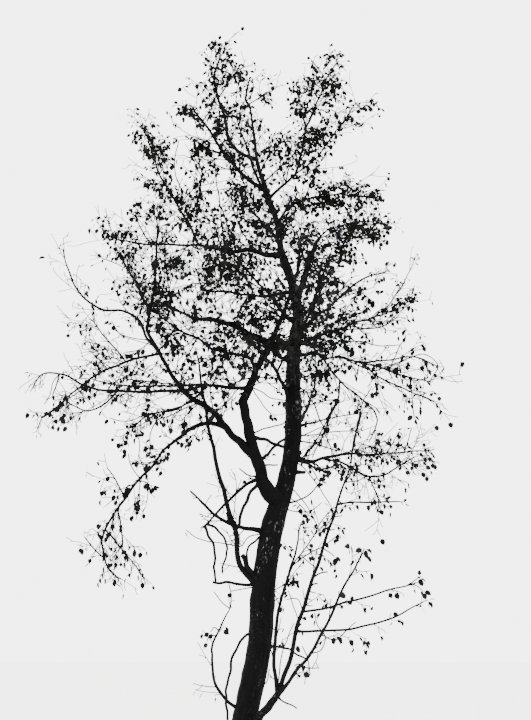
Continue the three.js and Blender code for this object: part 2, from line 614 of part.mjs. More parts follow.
// The finished mesh of a solid, with its own material.
function meshOf(name, solid, colour, roughness) {
  const made = solid.getMesh();
  const geometry = new THREE.BufferGeometry();
  geometry.setAttribute("position", new THREE.BufferAttribute(new Float32Array(made.vertProperties), 3));
  geometry.setIndex(new THREE.BufferAttribute(new Uint32Array(made.triVerts), 1));
  geometry.computeVertexNormals();
  const material = new THREE.MeshStandardMaterial({ color: colour, roughness, metalness: 0 });
  const mesh = new THREE.Mesh(geometry, material);
  mesh.name = name;
  return mesh;
}

const tree = new THREE.Group();
tree.name = "tree";
const limbs = new Map();
const fat = new Map();

const trunk = { name: "trunk", line: middleLine(new THREE.Vector3(), TRUNK), radiusAt: trunkRadius };
limbs.set(trunk.name, trunk);
fat.set(trunk.name, trunkSolid(trunk, GAP));
tree.add(meshOf(trunk.name, trunkSolid(trunk, 0), BARK, 0.9));

for (const row of BOUGHS) {
  const limb = boughOf(row, limbs.get(row.on));
  limbs.set(row.name, limb);
  const cutClear = (angle) => mainBody(boughSolid(limb, 0, angle).subtract(fat.get(row.on)));
  const { solid, turn } = bestTry(LIMB_TURN, cutClear);
  fat.set(row.name, boughSolid(limb, GAP, turn));
  tree.add(meshOf(row.name, solid, BARK, 0.9));
}

const masses = layOutLines(limbs);
masses.forEach((mass) => {
  mass.pieces = mass.lines.flatMap((line) => pieces(line.line, 2 * line.steps, (s) => lineRadius(line, s)));
});
const limbPieces = [...limbs.values()].flatMap((limb) => pieces(limb.line, LIMB_PIECES, limb.radiusAt));
for (const mass of masses) {
  const solid = massSolid(mass, masses, limbPieces, fat.get("trunk"));
  const mesh = meshOf(mass.row.name, solid, mass.row.leaves > 1 ? LEAVES : TWIG_BARK, 0.8);
  mesh.userData.leaves = mass.leaves;
  tree.add(mesh);
}

export default tree;
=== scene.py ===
import json
import math

import bpy
import numpy as np
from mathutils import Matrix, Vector, noise

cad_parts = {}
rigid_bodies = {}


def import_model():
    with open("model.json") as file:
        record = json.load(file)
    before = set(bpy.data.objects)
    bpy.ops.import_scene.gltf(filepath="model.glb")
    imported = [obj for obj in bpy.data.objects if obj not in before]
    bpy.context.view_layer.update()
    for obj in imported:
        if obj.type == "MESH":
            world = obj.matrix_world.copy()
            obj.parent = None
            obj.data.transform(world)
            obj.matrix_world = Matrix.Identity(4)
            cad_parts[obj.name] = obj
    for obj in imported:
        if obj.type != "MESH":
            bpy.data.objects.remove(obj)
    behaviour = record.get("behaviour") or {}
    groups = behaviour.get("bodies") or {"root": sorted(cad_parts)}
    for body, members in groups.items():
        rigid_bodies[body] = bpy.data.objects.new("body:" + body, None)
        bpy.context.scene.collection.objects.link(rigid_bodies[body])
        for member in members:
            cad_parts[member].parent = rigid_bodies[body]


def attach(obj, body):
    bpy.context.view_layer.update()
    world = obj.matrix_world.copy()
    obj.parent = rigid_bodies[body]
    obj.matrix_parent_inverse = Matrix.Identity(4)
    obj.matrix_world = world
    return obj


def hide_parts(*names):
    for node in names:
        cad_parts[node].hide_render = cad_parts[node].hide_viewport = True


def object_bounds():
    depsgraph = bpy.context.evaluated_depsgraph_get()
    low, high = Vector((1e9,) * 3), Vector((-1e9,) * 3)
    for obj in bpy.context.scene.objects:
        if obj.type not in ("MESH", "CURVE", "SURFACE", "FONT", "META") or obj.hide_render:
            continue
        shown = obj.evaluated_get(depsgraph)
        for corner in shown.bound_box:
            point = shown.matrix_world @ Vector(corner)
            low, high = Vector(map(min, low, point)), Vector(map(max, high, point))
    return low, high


bl_info = {
    "name": "Tall Thin Tree",
    "version": (1, 0, 0),
    "blender": (4, 5, 0),
    "location": "View3D > Sidebar > Tree",
    "description": "Bark, twigs and leaves for a tall, thin broadleaf tree late in the year",
    "category": "Object",
}

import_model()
CAD_BOX = [list(corner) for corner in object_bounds()]

MM = 0.001  # the growing rule works in millimetres, the scene in metres
METRE = 1000.0
UP = np.array([0.0, 0.0, 1.0])
UPRIGHT = 0.05  # a way whose level part is shorter than this counts as upright
NEARBY = 1e-4  # the share of a line over which the way it runs is read

# The growing rule's sizes in millimetres, angles in degrees and shares, the same as the plain model's.
GAP = 0.4  # clear space between a limb and what it grows from
FLARE = 0.62  # how far the roots swell the trunk at the ground, as a share of its radius
FLARE_HEIGHT = 230.0  # over this height the flare falls to a third
ROOT_LOBES = 5
COLLAR = 0.3  # how far a bough swells where it leaves its parent
COLLAR_REACH = 1.6  # in radii of its foot, where that has fallen to a third
STEM_TIP = 3.0  # radius at the end of a stem
STEM_FOOT = (0.9, 0.48, 0.42)  # its foot, as a share of a bough's tip that bears 1, 2 or 3 stems
SEAT = 0.56  # stems that share a tip stand this share of its radius off its middle
FOOT_SHARE = 0.92  # a foot fills this much of the room inside what it grows from
STEM_SIDES, ARM_SIDES = 4, 3  # the plain model's stems and arms, which bound the feet of twigs
TWIG_FOOT, TWIG_TIP = 4.2, 2.4
STALK = 42.0
SPRAY_LENGTH = 118.0  # the small spray that one of the plain model's leaves stands for
SPRAY_WIDTH = 0.68
SPRAY_WIDEST = 0.42
LIMB_PIECES = 24  # a limb counts as this many straight pieces in the measuring of clear space
CLEAR = 9.0  # what a twig or leaf keeps from limbs and from the next mass's space
FIRST_TWIG, TWIG_SPAN = 0.1, 0.88
TWIG_PLACE = (0.3, 0.4)  # where in its own stretch of the stem a twig stands
GOLDEN_TURN, TURN_SPREAD = 137.5, 60.0
SPLAY, SPLAY_SPREAD = 52.0, 16.0
LIFT_SPREAD = 0.3
SHORTEST, REACH_LOSS = 0.55, 0.4
SIDE_SPLAY, SIDE_STEP, FIRST_SIDE = 56.0, 0.24, 0.4
BLADE_SPREAD, BLADE_TILT = 0.4, 0.5

# Seeds. Each line, twig and spray throws dice of its own, so a change to one leaves the rest as they were.
MASS_SEED, STEM_SEED, TWIG_SEED = 1000003, 104729, 7919
WAVE_SEED, SPRIG_SEED, ALONG_SEED, SHOOTS_SEED, TUFT_SEED = 7, 3571, 104651, 32452843, 61
DEAD_WOOD_SEED, LONG_SHOOT_SEED, SHOOT_LEAF_SEED = 900, 700, 7000
STEM_SKIN_SEED, TWIG_SKIN_SEED, DEAD_SKIN_SEED = 40, 60, 90

# The finer growth, in millimetres, degrees and shares. A pair named for what a throw of the dice decides
# holds the least value and how much more the throw may add.
BEYOND = 30.0  # how far past the plain model's box the finer twigs may reach
TONES = 3  # shades of leaf, dealt out by spray
FORKS = 2  # how many times a spray's twig branches again
# Twigs: how each bows, strays from its line and curls at its end.
TWIG_BOW, TWIG_STEP = 0.06, 34.0
SIDE_BOW, SIDE_PIECE = 0.1, 30.0
STRAY, STRAY_SOON = 0.006, 3
CURL, CURL_RARITY, CURL_LATE, CURL_PULL, PULL_LATE = 0.6, 1.6, 2.2, 0.5, 4
CURLED_LENGTH = 110  # shorter twigs don't curl
# Side twigs: where they end on their twig, their splay, turn, reach and foot.
SIDE_START, SIDE_END = 0.2, 0.97
SIDE_TWIG_SPLAY = (34, 28)
SIDE_TURN = 1.6
SIDE_REACH, SIDE_LOSS, SHORTEST_SIDE = (0.28, 0.42), 0.35, 45.0
SIDE_LIFT, SIDE_FOOT = 0.5, 0.7
# Twigs straight on a stem or limb: their turn, splay and reach, and how slim the short ones are.
ALONG_LOW, ALONG_HIGH, ALONG_SPLAY = 0.05, 0.99, 50.0
ALONG_TURN, ALONG_SPREAD = 2.2, 28
SHORT_TWIGS, ALONG_LOSS = 1.3, 0.45
SLIM_FOOT, FULL_FOOT, FULL_LENGTH = 0.55, 0.45, 250
STEM_ROOM = 0.9  # a twig's foot is no wider than this share of the stem
# Leaves: how many there are, where they start, how they hang and how they differ.
LEAFY_SHARE = 0.6  # this share of the twigs bears all the leaves, the rest are bare
LEAFINESS = (0.4, 1.2)
LEAF_ROOM = 55  # a twig has no more than one leaf for this much of its length, and one at its tip
SPRAY_FILL, SPRAY_LUSH, LUSHEST_SPRAY = (0.6, 0.8), (0.4, 0.6), 1.5
INTO_SPRAY = 0.72  # how far the twig runs on into its spray
TWIG_LEAVES_LOW, SPRAY_LEAVES_LOW = 0.35, 0.3
TIP_LEAF_SPLAY, LEAF_SPLAY = 25, 60
LEAF_ALONG, LEAF_LOOSE, LEAF_UP = 0.5, 1.2, 0.35
LEAF_SIZE, LEAF_SPREAD = 1.06, 0.5
DROOP, LIFT_HOLDS, LEAST_DROOP = 1.2, 3.0, 0.3
LOWEST_LEAF = 110.0  # no leaf hangs below this height
# Masses: how lively and lush a mass is by its row, and its spurs, side twigs and whips. Those two have the
# number added to the stem's seed, how far apart they stand, their least and greatest reach as shares of
# the mass's, how many times they branch and their splay.
LEAST_LIVELY, FULL_TWIGS = 0.4, 7
BARE_LEAVES, LEAST_LUSH = 0.9, 0.1
SHORTEST_SPUR, SPUR_REACH = 30, 0.5
SIDE_TWIGS = (51, 112, 0.6, 1.8, 2, 42.0)
WHIPS = (88, 125, 1.2, 2.8, 1, 36.0)
WHIP_LUSH, WHIP_LIVELY = 0.3, 0.5
TUFT_LUSH, TUFT_SPLAY, SHORTEST_TUFT, ARM_TUFT = 4.2, 60.0, 35, 0.5
# Shoots that stand straight on a limb: their usual lift and their splay.
SHOOTS_LIFT, SHOOTS_SPLAY, SHOOTS_FORKS = 0.25, 55.0, 2
# Long shoots with more than a few leaves branch too, and their leaves start lower.
FEW_LEAVES, FEW_LOW, MANY_LOW = 7, 0.8, 0.35
SHOOT_DROOP, SHOOT_LIFT, LEAVES_FOR_LUSH = 0.7, 0.1, 16
# Lines of stems, shoots and boughs: the lengths of the waves that they sway and nod by, how far, the
# length of each straight piece and the fewest pieces.
STEM_WAVES, STEM_SWAY, STEM_PIECE, STEM_FEWEST = (83, 33, 71, 37), (5.0, 1.2), 24, 6
SHOOT_WAVES, SHOOT_SWAY, SHOOT_PIECE, SHOOT_FEWEST = (43, 19, 37, 23), (5.0, 3.0), 22, 5
BOUGH_WAVES, BOUGH_SWAY, BOUGH_PIECE, BOUGH_FEWEST = (71, 33, 63, 29), (1.0, 0.6), 12, 8
# Each grows as crooked as it gets over this length from its foot, and calms over the last one to its tip.
STEM_SETTLE, STEM_CALM, STEM_LAST = 150, 60, 0.2
SHOOT_SETTLE = 120
BOUGH_SETTLE, BOUGH_CALM, BOUGH_LOOSE = 200, 120, 0.16
BOUGH_LUMP, LUMP_WAVE = 0.05, 47  # how far a bough's girth comes and goes, and over what length
BOUGH_SUNK, BOUGH_SEED = 30, 31
ROUND_END = ((0.45, 0.86), (0.8, 0.55), (0.95, 0.2))  # rings past its tip: how far out and how wide
# Stems: the foot's radius at its least and what each millimetre of length adds, and how it tapers.
STEM_END = 5.6  # radius of a stem near its end, a little stouter than the plain model's
STEM_STOUT, STEM_LEAST, STEM_GAIN, STEM_TAPER = 1.25, 7.0, 0.0032, 0.6
STEM_SUNK, STOUTEST_ARM, STEM_COLLAR, STEM_BLUNT = 1.6, 1.1, 0.35, 0.45
# Shoots and dead wood: how crooked each is, what is added to the radius, the swell and the blunt end.
DEAD_CROOK, DEAD_EXTRA = 1.0, 2.6
SHOOT_CROOK, SHOOT_EXTRA = 0.35, 0.6
SHOOT_STOUT, SHOOT_COLLAR, SHOOT_ON, SHOOT_BLUNT = 1.1, 0.4, 0.5, 0.55


# The tree's rows

def table(columns, rows):
    """A table's rows by the names of its columns. A row may leave out its last values."""
    names = columns.split()
    return [dict(zip(names, row)) for row in rows]


# The trunk's rise and its radius, at equal steps from the ground to the tip of its leader.
TRUNK = dict(
    name="trunk",
    bearing=0,
    sweep=30,
    length=7890,
    rises=[80, 80, 78, 78, 86, 84, 80, 72, 78, 86, 90, 88, 82, 98, 110, 98, 108, 110, 98, 98],
    girth=[125, 119, 114, 117, 116, 121, 113, 117, 92, 87, 92, 81, 74, 65, 54, 42, 34, 30, 23, 17, 12],
)

# Boughs and dead limbs: what each grows from, its heading, its length, the rise of each equal step, its
# radius at foot and tip, and how far along its parent it stands. One with no place goes on from the
# parent's tip.
BOUGHS = table("name on bearing length rises foot tip at", [
    ("left_stem", "trunk", [215, 220, 230, 240, 250], 1160, [40, 65, 65, 60, 60], 74, 46, 0.38),
    ("left_bend", "left_stem", [330, 290, 305, 310, 310], 1160, [60, 30, 40, 50, 55], 46, 18),
    ("left_arm", "left_stem", 205, 1480, [35, 45, 40, 25, 50, 55], 44, 18, 0.48),
    ("left_arch", "left_arm", 170, 940, [15, -15, -35, -40, -55], 25, 13, 0.3),
    ("left_level", "left_bend", 215, 500, [-10, -5, -5], 21, 15, 0.12),
    ("left_crook", "left_bend", 150, 670, [60, 25, 20, 20], 20, 13, 0.32),
    ("left_cross", "trunk", 155, 1720, [15, 30, 35, 25, 15, 30], 50, 17, 0.605),
    ("upper_left", "trunk", 190, 990, [0, 10, -10, 5, 10], 34, 17, 0.75),
    ("top_right", "trunk", 20, 550, [50, 50, 50], 19, 14, 0.845),
    ("right_fork", "trunk", 50, 1090, [55, 70, 65, 60], 46, 19, 0.685),
    ("right_arm", "trunk", -25, 450, [30, 40, 25], 30, 15, 0.625),
    ("right_leafy", "trunk", 50, 1010, [30, 30, 25], 26, 15, 0.605),
    ("right_arch", "trunk", -50, 540, [-10, -10, -40], 25, 16, 0.59),
    ("low_right", "trunk", 30, 400, [-10, 0, 20], 27, 17, 0.445),
    ("dead_bough", "trunk", 200, 970, [5, 10, 20, 40, 40], 26, 10, 0.34),
    ("dead_fork", "left_stem", 215, 900, [-30, -40, -45, -45], 20, 9, 0.3),
    ("base_stem", "trunk", -50, 620, [20, 40, 40], 42, 31, 0.105),
    ("back_low", "trunk", 75, 1150, [25, 30, 35, 40], 30, 15, 0.485),
    ("back_mid", "trunk", 125, 900, [40, 50, 50], 30, 15, 0.64),
    ("front_low", "trunk", 268, 900, [5, 5, 10], 28, 14, 0.545),
    ("front_mid", "trunk", 225, 560, [-22, -24, -26], 24, 14, 0.691),
])

# Masses: what each stem grows from, its heading, its length, the rise of each equal step, how many twigs
# stand on each metre, how leafy each is, how far they reach and whether they lift or hang. Then, where it
# has them, its side arms, and for one on a limb's side how far along the limb and the radius of its foot.
# An arm has its place along the stem, its heading, its length and its rises.
MASSES = table("name on bearing length rises twigs leaves reach lift arms at foot", [
    ("left_stem_top", "left_bend", 285, 880, [25, 40, 85, 110], 8.5, 1.4, 350, 0.18),
    ("left_arm_rise", "left_arm", [190, 178, 166, 154, 142, 130], 1660, [60, 95, 95, 90, 90, 80], 6.4, 1.9,
     360, 0.06),
    ("left_whip", "left_arm", [225, 210, 200, 200, 200, 200, 200, 200], 1590,
     [36, 60, 26, -6, 28, 50, 66, 74], 2.6, 1, 280, 0.18),
    ("left_reach", "left_arm", 165, 1440, [-5, -15, -15, -30, -35, -40, -30], 3.2, 1.1, 300, -0.06,
     [(0.25, 175, 680, [50, 50, 50])]),
    ("left_arch_fall", "left_arch", [155, 155, 155, 155, 155, 20, 20, 20], 1410,
     [-40, -45, -50, -55, -60, -85, -65, -35], 2.6, 1.3, 220, -0.36,
     [(0.58, 10, 660, [-45, -50, -50]), (0.31, 200, 370, [60, 50]), (0.79, 190, 320, [40, 50]),
      (0.41, [330, 330, 150], 540, [-70, -80, -55])]),
    ("level_mid", "left_level", 205, 1170, [-10, -10, -10, -5, -5, 10], 4.4, 1.1, 280, 0.06),
    ("level_far", "left_level", 180, 1900, [-15, -5, 0, 0, 5, 15, 30, 0, -60], 2.2, 0.8, 260, 0,
     [(0.8, 200, 270, [-80, -80]), (0.47, 215, 630, [-50, -25, 15])]),
    ("level_low", "left_level", 150, 1030, [-35, -20, 0, -10, -25], 4.2, 1.3, 250, -0.3),
    ("crook_out", "left_crook", 160, 1020, [40, 30, 40, 50], 7.5, 1.3, 320, 0.12),
    ("left_cross_out", "left_cross", 150, 1570, [30, 10, 60, 60, 55, 55], 3.6, 1.5, 340, 0.12,
     [(0.08, 110, 800, [60, 65, 60])]),
    ("upper_left_out", "upper_left", 200, 1150, [-10, -10, -5, 0, 30], 4.6, 1.8, 300, 0.12,
     [(0.47, 215, 420, [45, 55, 70]), (0.1, 160, 340, [-50, -20])]),
    ("upper_left_rise", "upper_left", 150, 2240, [65, 60, 60, 60, 70, 70, 65], 3.6, 2, 300, 0.12,
     [(0.18, 80, 480, [60, 70])]),
    ("top_left", "trunk", 215, 1350, [15, 25, 40, 45, 45, 45], 4.6, 1.7, 300, 0.18, [], 0.855, 19),
    ("top_leader", "trunk", 160, 2110, [35, 55, 80, 75, 75, 80, 105, 95], 3.6, 2.2, 270, 0.24,
     [(0.58, 20, 620, [65, 65, 65])], 0.91, 16),
    ("trunk_tip", "trunk", [150, 60, 20], 560, [70, 80, 80], 8, 1.4, 260, 0.18,
     [(0.14, 10, 450, [40, 40])]),
    ("top_right_rise", "top_right", 25, 2090, [75, 80, 70, 70, 70, 60], 3.6, 2.1, 300, 0.18,
     [(0.35, [240, 60, 60], 560, [55, 105, 100])]),
    ("top_right_out", "top_right", -40, 1100, [15, 30, 40, 40, 40], 6.5, 1.7, 290, 0.18),
    ("right_high", "trunk", [45, 42, 39, 36, 33, 30], 2050, [60, 40, 30, 25, 15, 15], 4.4, 2.3, 310, 0.18,
     [], 0.8, 18),
    ("right_spike", "right_fork", 30, 1180, [35, 40, 20, 20], 6.5, 2.4, 310, 0.18),
    ("right_tuft", "right_fork", -30, 960, [25, -55, -20, 0, 0], 8.5, 2.1, 290, 0.24),
    ("right_arm_out", "right_arm", -15, 800, [40, 40, 25, 10], 8, 1.8, 300, 0.18),
    ("right_rise", "trunk", -60, 860, [0, 25, 60, 70, 60], 7.5, 1.5, 300, 0.18, [], 0.65, 19),
    ("right_leafy_out", "right_leafy", 35, 1980, [30, 25, 40, 50, 55, 60], 2.8, 1.9, 305, 0.18,
     [(0.29, 5, 660, [20, 30, 40]), (0.08, -10, 740, [-10, 5, 40])]),
    ("right_arch_out", "right_arch", [-50, -42, -34, -26, -18, -10], 1280, [-10, -25, -25, -25, -25, -15],
     3.2, 1.3, 260, -0.18, [(0.13, -30, 1110, [-20, -10, 0, -30]), (0.41, -20, 830, [-45, -30, -30])]),
    ("right_arch_low", "right_arch", [-10, -10, -10, -10, -10, 160, 160], 1130,
     [-60, -50, -45, -45, -50, -85, -60], 3.2, 0.9, 250, -0.18, [(0.25, 200, 930, [-80, -65, -65, -65])]),
    ("low_right_out", "low_right", 30, 1650, [15, 5, 10, 10, 10], 4.2, 1.5, 290, 0.06,
     [(0.26, 60, 680, [60, 60, 60])]),
    ("low_right_kink", "low_right", -35, 1200, [-15, -30, -30, -5, 25, 20], 4.4, 1.4, 270, -0.12,
     [(0.52, -35, 340, [-70, -65])]),
    ("left_pole", "trunk", 195, 2700, [46, 80, 72, 74, 76, 78, 80, 80], 1.4, 1, 240, 0.12, [], 0.265, 19),
    ("base_sucker", "base_stem", -10, 2210, [70, 75, 70, 70, 70, 70, 70], 1.5, 0.8, 160, 0.12,
     [(0.33, 0, 1140, [10, 15, 15, 15]), (0.25, -5, 1220, [0, 5, 10, 20, 25]), (0.81, 0, 660, [5, 0, 0])]),
    ("base_second", "base_stem", [150, 80, 70, 65, 60, 60], 1860, [85, 60, 60, 50, 60, 65], 3.2, 1.4, 220,
     0.12),
    ("base_whip", "base_stem", -50, 1610, [40, 40, 45, 55, 50, 50], 2.2, 1.2, 200, 0.12),
    ("base_sprout", "trunk", 200, 1140, [25, 50, 75, 90, 115, 120], 2, 1.2, 160, 0.12, [], 0.125, 9),
    ("back_low_out", "back_low", 80, 1300, [35, 30, 40, 50, 40], 7, 1.6, 360, 0.12),
    ("back_mid_out", "back_mid", 145, 1120, [50, 52, 56, 56], 5, 1.8, 340, 0.12,
     [(0.45, 60, 970, [62, 62]), (0.3, 185, 680, [18, 28])]),
    ("back_high", "trunk", 120, 1700, [45, 50, 50, 55], 5.6, 1.7, 340, 0.18, [], 0.775, 18),
    ("front_low_out", "front_low", 283, 1120, [10, 10, 20, 25], 6.5, 1.4, 340, 0.06),
    ("front_mid_out", "front_mid", 215, 984, [-8, -8, -10, 58], 5, 1.8, 320, 0.06,
     [(0.1, 200, 640, [58, 44, 24]), (0.5, 240, 510, [20, 22])]),
    ("front_high", "trunk", 240, 1250, [35, 45, 50], 6.5, 1.6, 310, 0.18, [], 0.81, 17),
])

# Which masses make up each part of the crown. A part's stems, twigs and leaves are one piece each.
CROWN = {
    "low_left": ["left_arch_fall", "level_far", "level_low", "level_mid", "left_reach", "left_whip",
                 "left_pole"],
    "mid_left": ["left_arm_rise", "crook_out", "left_cross_out", "left_stem_top"],
    "upper_left": ["upper_left_out", "upper_left_rise", "top_left"],
    "top": ["top_leader", "trunk_tip", "top_right_rise", "top_right_out"],
    "right": ["right_high", "right_spike", "right_tuft", "right_arm_out", "right_rise",
              "right_leafy_out"],
    "low_right": ["right_arch_out", "right_arch_low", "low_right_out", "low_right_kink"],
    "base": ["base_sucker", "base_second", "base_whip", "base_sprout"],
    "back": ["back_low_out", "back_mid_out", "back_high"],
    "front": ["front_low_out", "front_mid_out", "front_high"],
}

# How much leafier, how much richer in fine twigs and how much stouter a mass is than its row alone says.
DRESS = {
    "left_stem_top": (0.8, 1.1, 1.0), "left_arm_rise": (0.3, 1.2, 1.5), "left_whip": (0.5, 0.7, 1.25),
    "left_reach": (1.0, 1.2, 1.3), "left_arch_fall": (0.9, 1.0, 1.1), "level_mid": (0.9, 1.4, 1.2),
    "level_far": (0.8, 0.9, 1.35), "level_low": (0.7, 1.4, 1.2), "left_pole": (0.5, 0.35, 1.3),
    "crook_out": (0.42, 1.3, 1.1), "left_cross_out": (0.6, 1.2, 1.2), "upper_left_out": (0.65, 0.9, 1.4),
    "upper_left_rise": (0.9, 1.0, 1.25), "top_left": (1.3, 1.0, 1.1), "top_leader": (1.2, 1.0, 1.25),
    "trunk_tip": (1.0, 0.9, 1.3), "top_right_rise": (0.9, 1.1, 1.3), "top_right_out": (1.0, 1.0, 1.0),
    "right_high": (1.0, 1.1, 0.75), "right_spike": (0.7, 0.9, 0.9), "right_tuft": (0.9, 0.8, 1.0),
    "right_arm_out": (0.25, 0.45, 1.0), "right_rise": (1.2, 1.2, 1.0), "right_leafy_out": (0.3, 0.5, 0.75),
    "right_arch_out": (0.7, 0.9, 1.0), "right_arch_low": (0.6, 0.8, 1.1), "low_right_out": (0.6, 0.9, 1.3),
    "low_right_kink": (0.7, 0.9, 1.2), "base_sucker": (5.0, 0.3, 1.4), "base_second": (1.6, 0.4, 1.2),
    "base_whip": (2.0, 0.35, 1.05), "base_sprout": (0.5, 0.35, 1.5), "back_low_out": (0.7, 1.0, 1.0),
    "back_mid_out": (0.6, 1.0, 1.0), "back_high": (0.8, 1.0, 1.0), "front_low_out": (1.0, 1.1, 1.0),
    "front_mid_out": (0.6, 1.0, 1.0), "front_high": (0.7, 1.0, 1.0),
}

# Stems that end in a tuft of leaves on short spurs: how many spurs stand on the last of each, the share of
# the stem where they begin and how far they reach.
TUFTS = {
    "top_leader": (18, 0.74, 190), "top_right_rise": (14, 0.74, 300), "top_left": (20, 0.78, 140),
    "top_right_out": (22, 0.75, 130), "right_high": (16, 0.72, 190), "right_spike": (8, 0.7, 150),
    "right_tuft": (8, 0.7, 150), "upper_left_rise": (22, 0.84, 140), "upper_left_out": (20, 0.75, 140),
    "right_arm_out": (5, 0.8, 110), "base_sucker": (7, 0.93, 90), "base_whip": (7, 0.88, 100),
    "right_leafy_out": (3, 0.94, 80),
}

# Shoots that stand straight on a limb: the limb, the part of the crown they go with, the stretch of it
# that bears them, how many to a metre, how far they reach, how leafy each is, and how far they lift or
# hang where that isn't as usual.
SHOOTS = table("on part low high per_metre reach leaves lift", [
    ("trunk", "top", 0.6, 0.98, 15, 460, 0.5, 0.4),
    ("trunk", "base", 0.2, 0.58, 7, 200, 0.2),
    ("left_stem", "mid_left", 0.2, 0.98, 9, 240, 0.3),
    ("left_bend", "mid_left", 0.1, 0.98, 28, 640, 0.6, 0.35),
    ("left_arm", "low_left", 0.3, 0.98, 24, 520, 0.4),
    ("left_arch", "low_left", 0.2, 0.98, 24, 300, 0.8),
    ("left_level", "low_left", 0.2, 0.98, 30, 460, 0.5),
    ("left_crook", "mid_left", 0.2, 0.98, 26, 460, 0.5),
    ("left_cross", "mid_left", 0.15, 0.98, 20, 520, 0.6, 0.35),
    ("upper_left", "upper_left", 0.32, 0.98, 18, 640, 0.36, 0.5),
    ("top_right", "top", 0.2, 0.98, 18, 460, 0.7),
    ("right_fork", "right", 0.25, 0.98, 18, 420, 0.9),
    ("right_arm", "right", 0.3, 0.98, 22, 420, 0.8),
    ("right_leafy", "right", 0.2, 0.98, 26, 560, 0.9),
    ("right_arch", "low_right", 0.3, 0.98, 20, 420, 0.6),
    ("low_right", "low_right", 0.3, 0.98, 24, 420, 0.5),
    ("right_leafy", "right", 0.4, 0.98, 14, 420, 0.9, -0.5),
    ("left_crook", "mid_left", 0.3, 0.98, 18, 420, 0.6, -0.5),
    ("left_cross", "mid_left", 0.1, 0.7, 16, 480, 0.6, -0.5),
    ("dead_bough", "base", 0.25, 0.99, 14, 260, 0.02),
    ("dead_fork", "base", 0.25, 0.99, 12, 220, 0.02),
    ("back_low", "back", 0.3, 0.98, 10, 300, 0.4),
    ("back_mid", "back", 0.3, 0.98, 24, 520, 0.7),
    ("front_low", "front", 0.4, 0.98, 10, 300, 0.5),
    ("front_mid", "front", 0.3, 0.98, 12, 300, 0.5),
])

# Dead stubs, hanging dead wood and thin shoots that are no limbs of their own: what each grows from, how
# far along it, its heading, its length, the rise of each equal step, and its radius at foot and tip.
DEAD_WOOD = table("on at bearing length rises foot tip", [
    ("trunk", 0.271, [200, 205], 380, [45, 60], 26, 20),
    ("left_stem", 0.28, [205, 205, 225], 630, [-50, -65, -70], 15.5, 11),
    ("dead_bough", 0.47, 225, 110, [65], 11, 8),
    ("trunk", 0.34, [205, 205, 220], 450, [-25, -40, -80], 9, 7),
    ("dead_fork", 0.97, [355, 350, 335, 210, 325], 540, [-65, -65, -80, -85, -75], 10, 7.5),
    ("dead_fork", 0.94, [0, 355, 335, 200, 195], 560, [-25, -50, -75, -80, -80], 9, 6),
    ("trunk", 0.273, 200, 530, [0, 5, 0], 12.5, 9),
    ("trunk", 0.221, [200, 210, 220, 220, 325], 970, [-25, -55, -75, -80, -80], 10, 8.5),
    ("trunk", 0.204, [340, 345, 335, 345], 500, [-10, -10, -20, -30], 8.5, 5.5),
    ("base_stem", 0.94, [330, 335, 325], 390, [45, 45, 45], 9, 5.5),
    ("base_stem", 0.97, [340, 340, 340, 345], 220, [-45, -25, -20, -35], 6, 3.5),
    ("base_sucker", 0.48, [345, 355], 150, [30, 10], 5.5, 4),
    ("base_sucker", 0.44, [340, 355], 80, [35, 10], 5.5, 4),
    ("trunk", 0.519, [220, 215, 205, 205, 205], 940, [50, 60, 50, 40, 35], 19.5, 11),
    ("trunk", 0.576, [210, 205, 205], 500, [25, 25, 20], 16.5, 10),
    ("trunk", 0.597, [200, 205, 225], 470, [-40, -65, -80], 12.5, 8.5),
    ("left_stem", 0.66, [25, 30, 25], 420, [0, -15, -10], 15.5, 12.5),
    ("left_stem", 0.41, [5, 5, 10], 430, [50, 45, 40], 13.5, 9.5),
    ("left_stem", 0.41, 340, 220, [-10, 0], 8, 5),
    ("left_stem", 0.69, [15, 0, 0], 420, [25, 15, 20], 5.5, 4),
    ("left_stem", 0.29, [205, 215], 280, [5, 20], 7, 4),
    ("trunk", 0.423, 340, 190, [-5], 17, 13.5),
    ("trunk", 0.55, [320, 325, 330, 325, 325], 1170, [-40, -60, -70, -70, -75], 6, 3.5),
    ("trunk", 0.427, [330, 330, 335, 335], 910, [35, 45, 60, 60], 7, 3.5),
    ("trunk", 0.484, [335, 340, 345], 510, [10, 10, 10], 7, 3.5),
    ("trunk", 0.444, [345, 350, 350], 510, [-25, -25, 10], 10.5, 6.5),
    ("trunk", 0.464, [340, 340, 350], 490, [0, -20, -20], 6, 3.5),
])

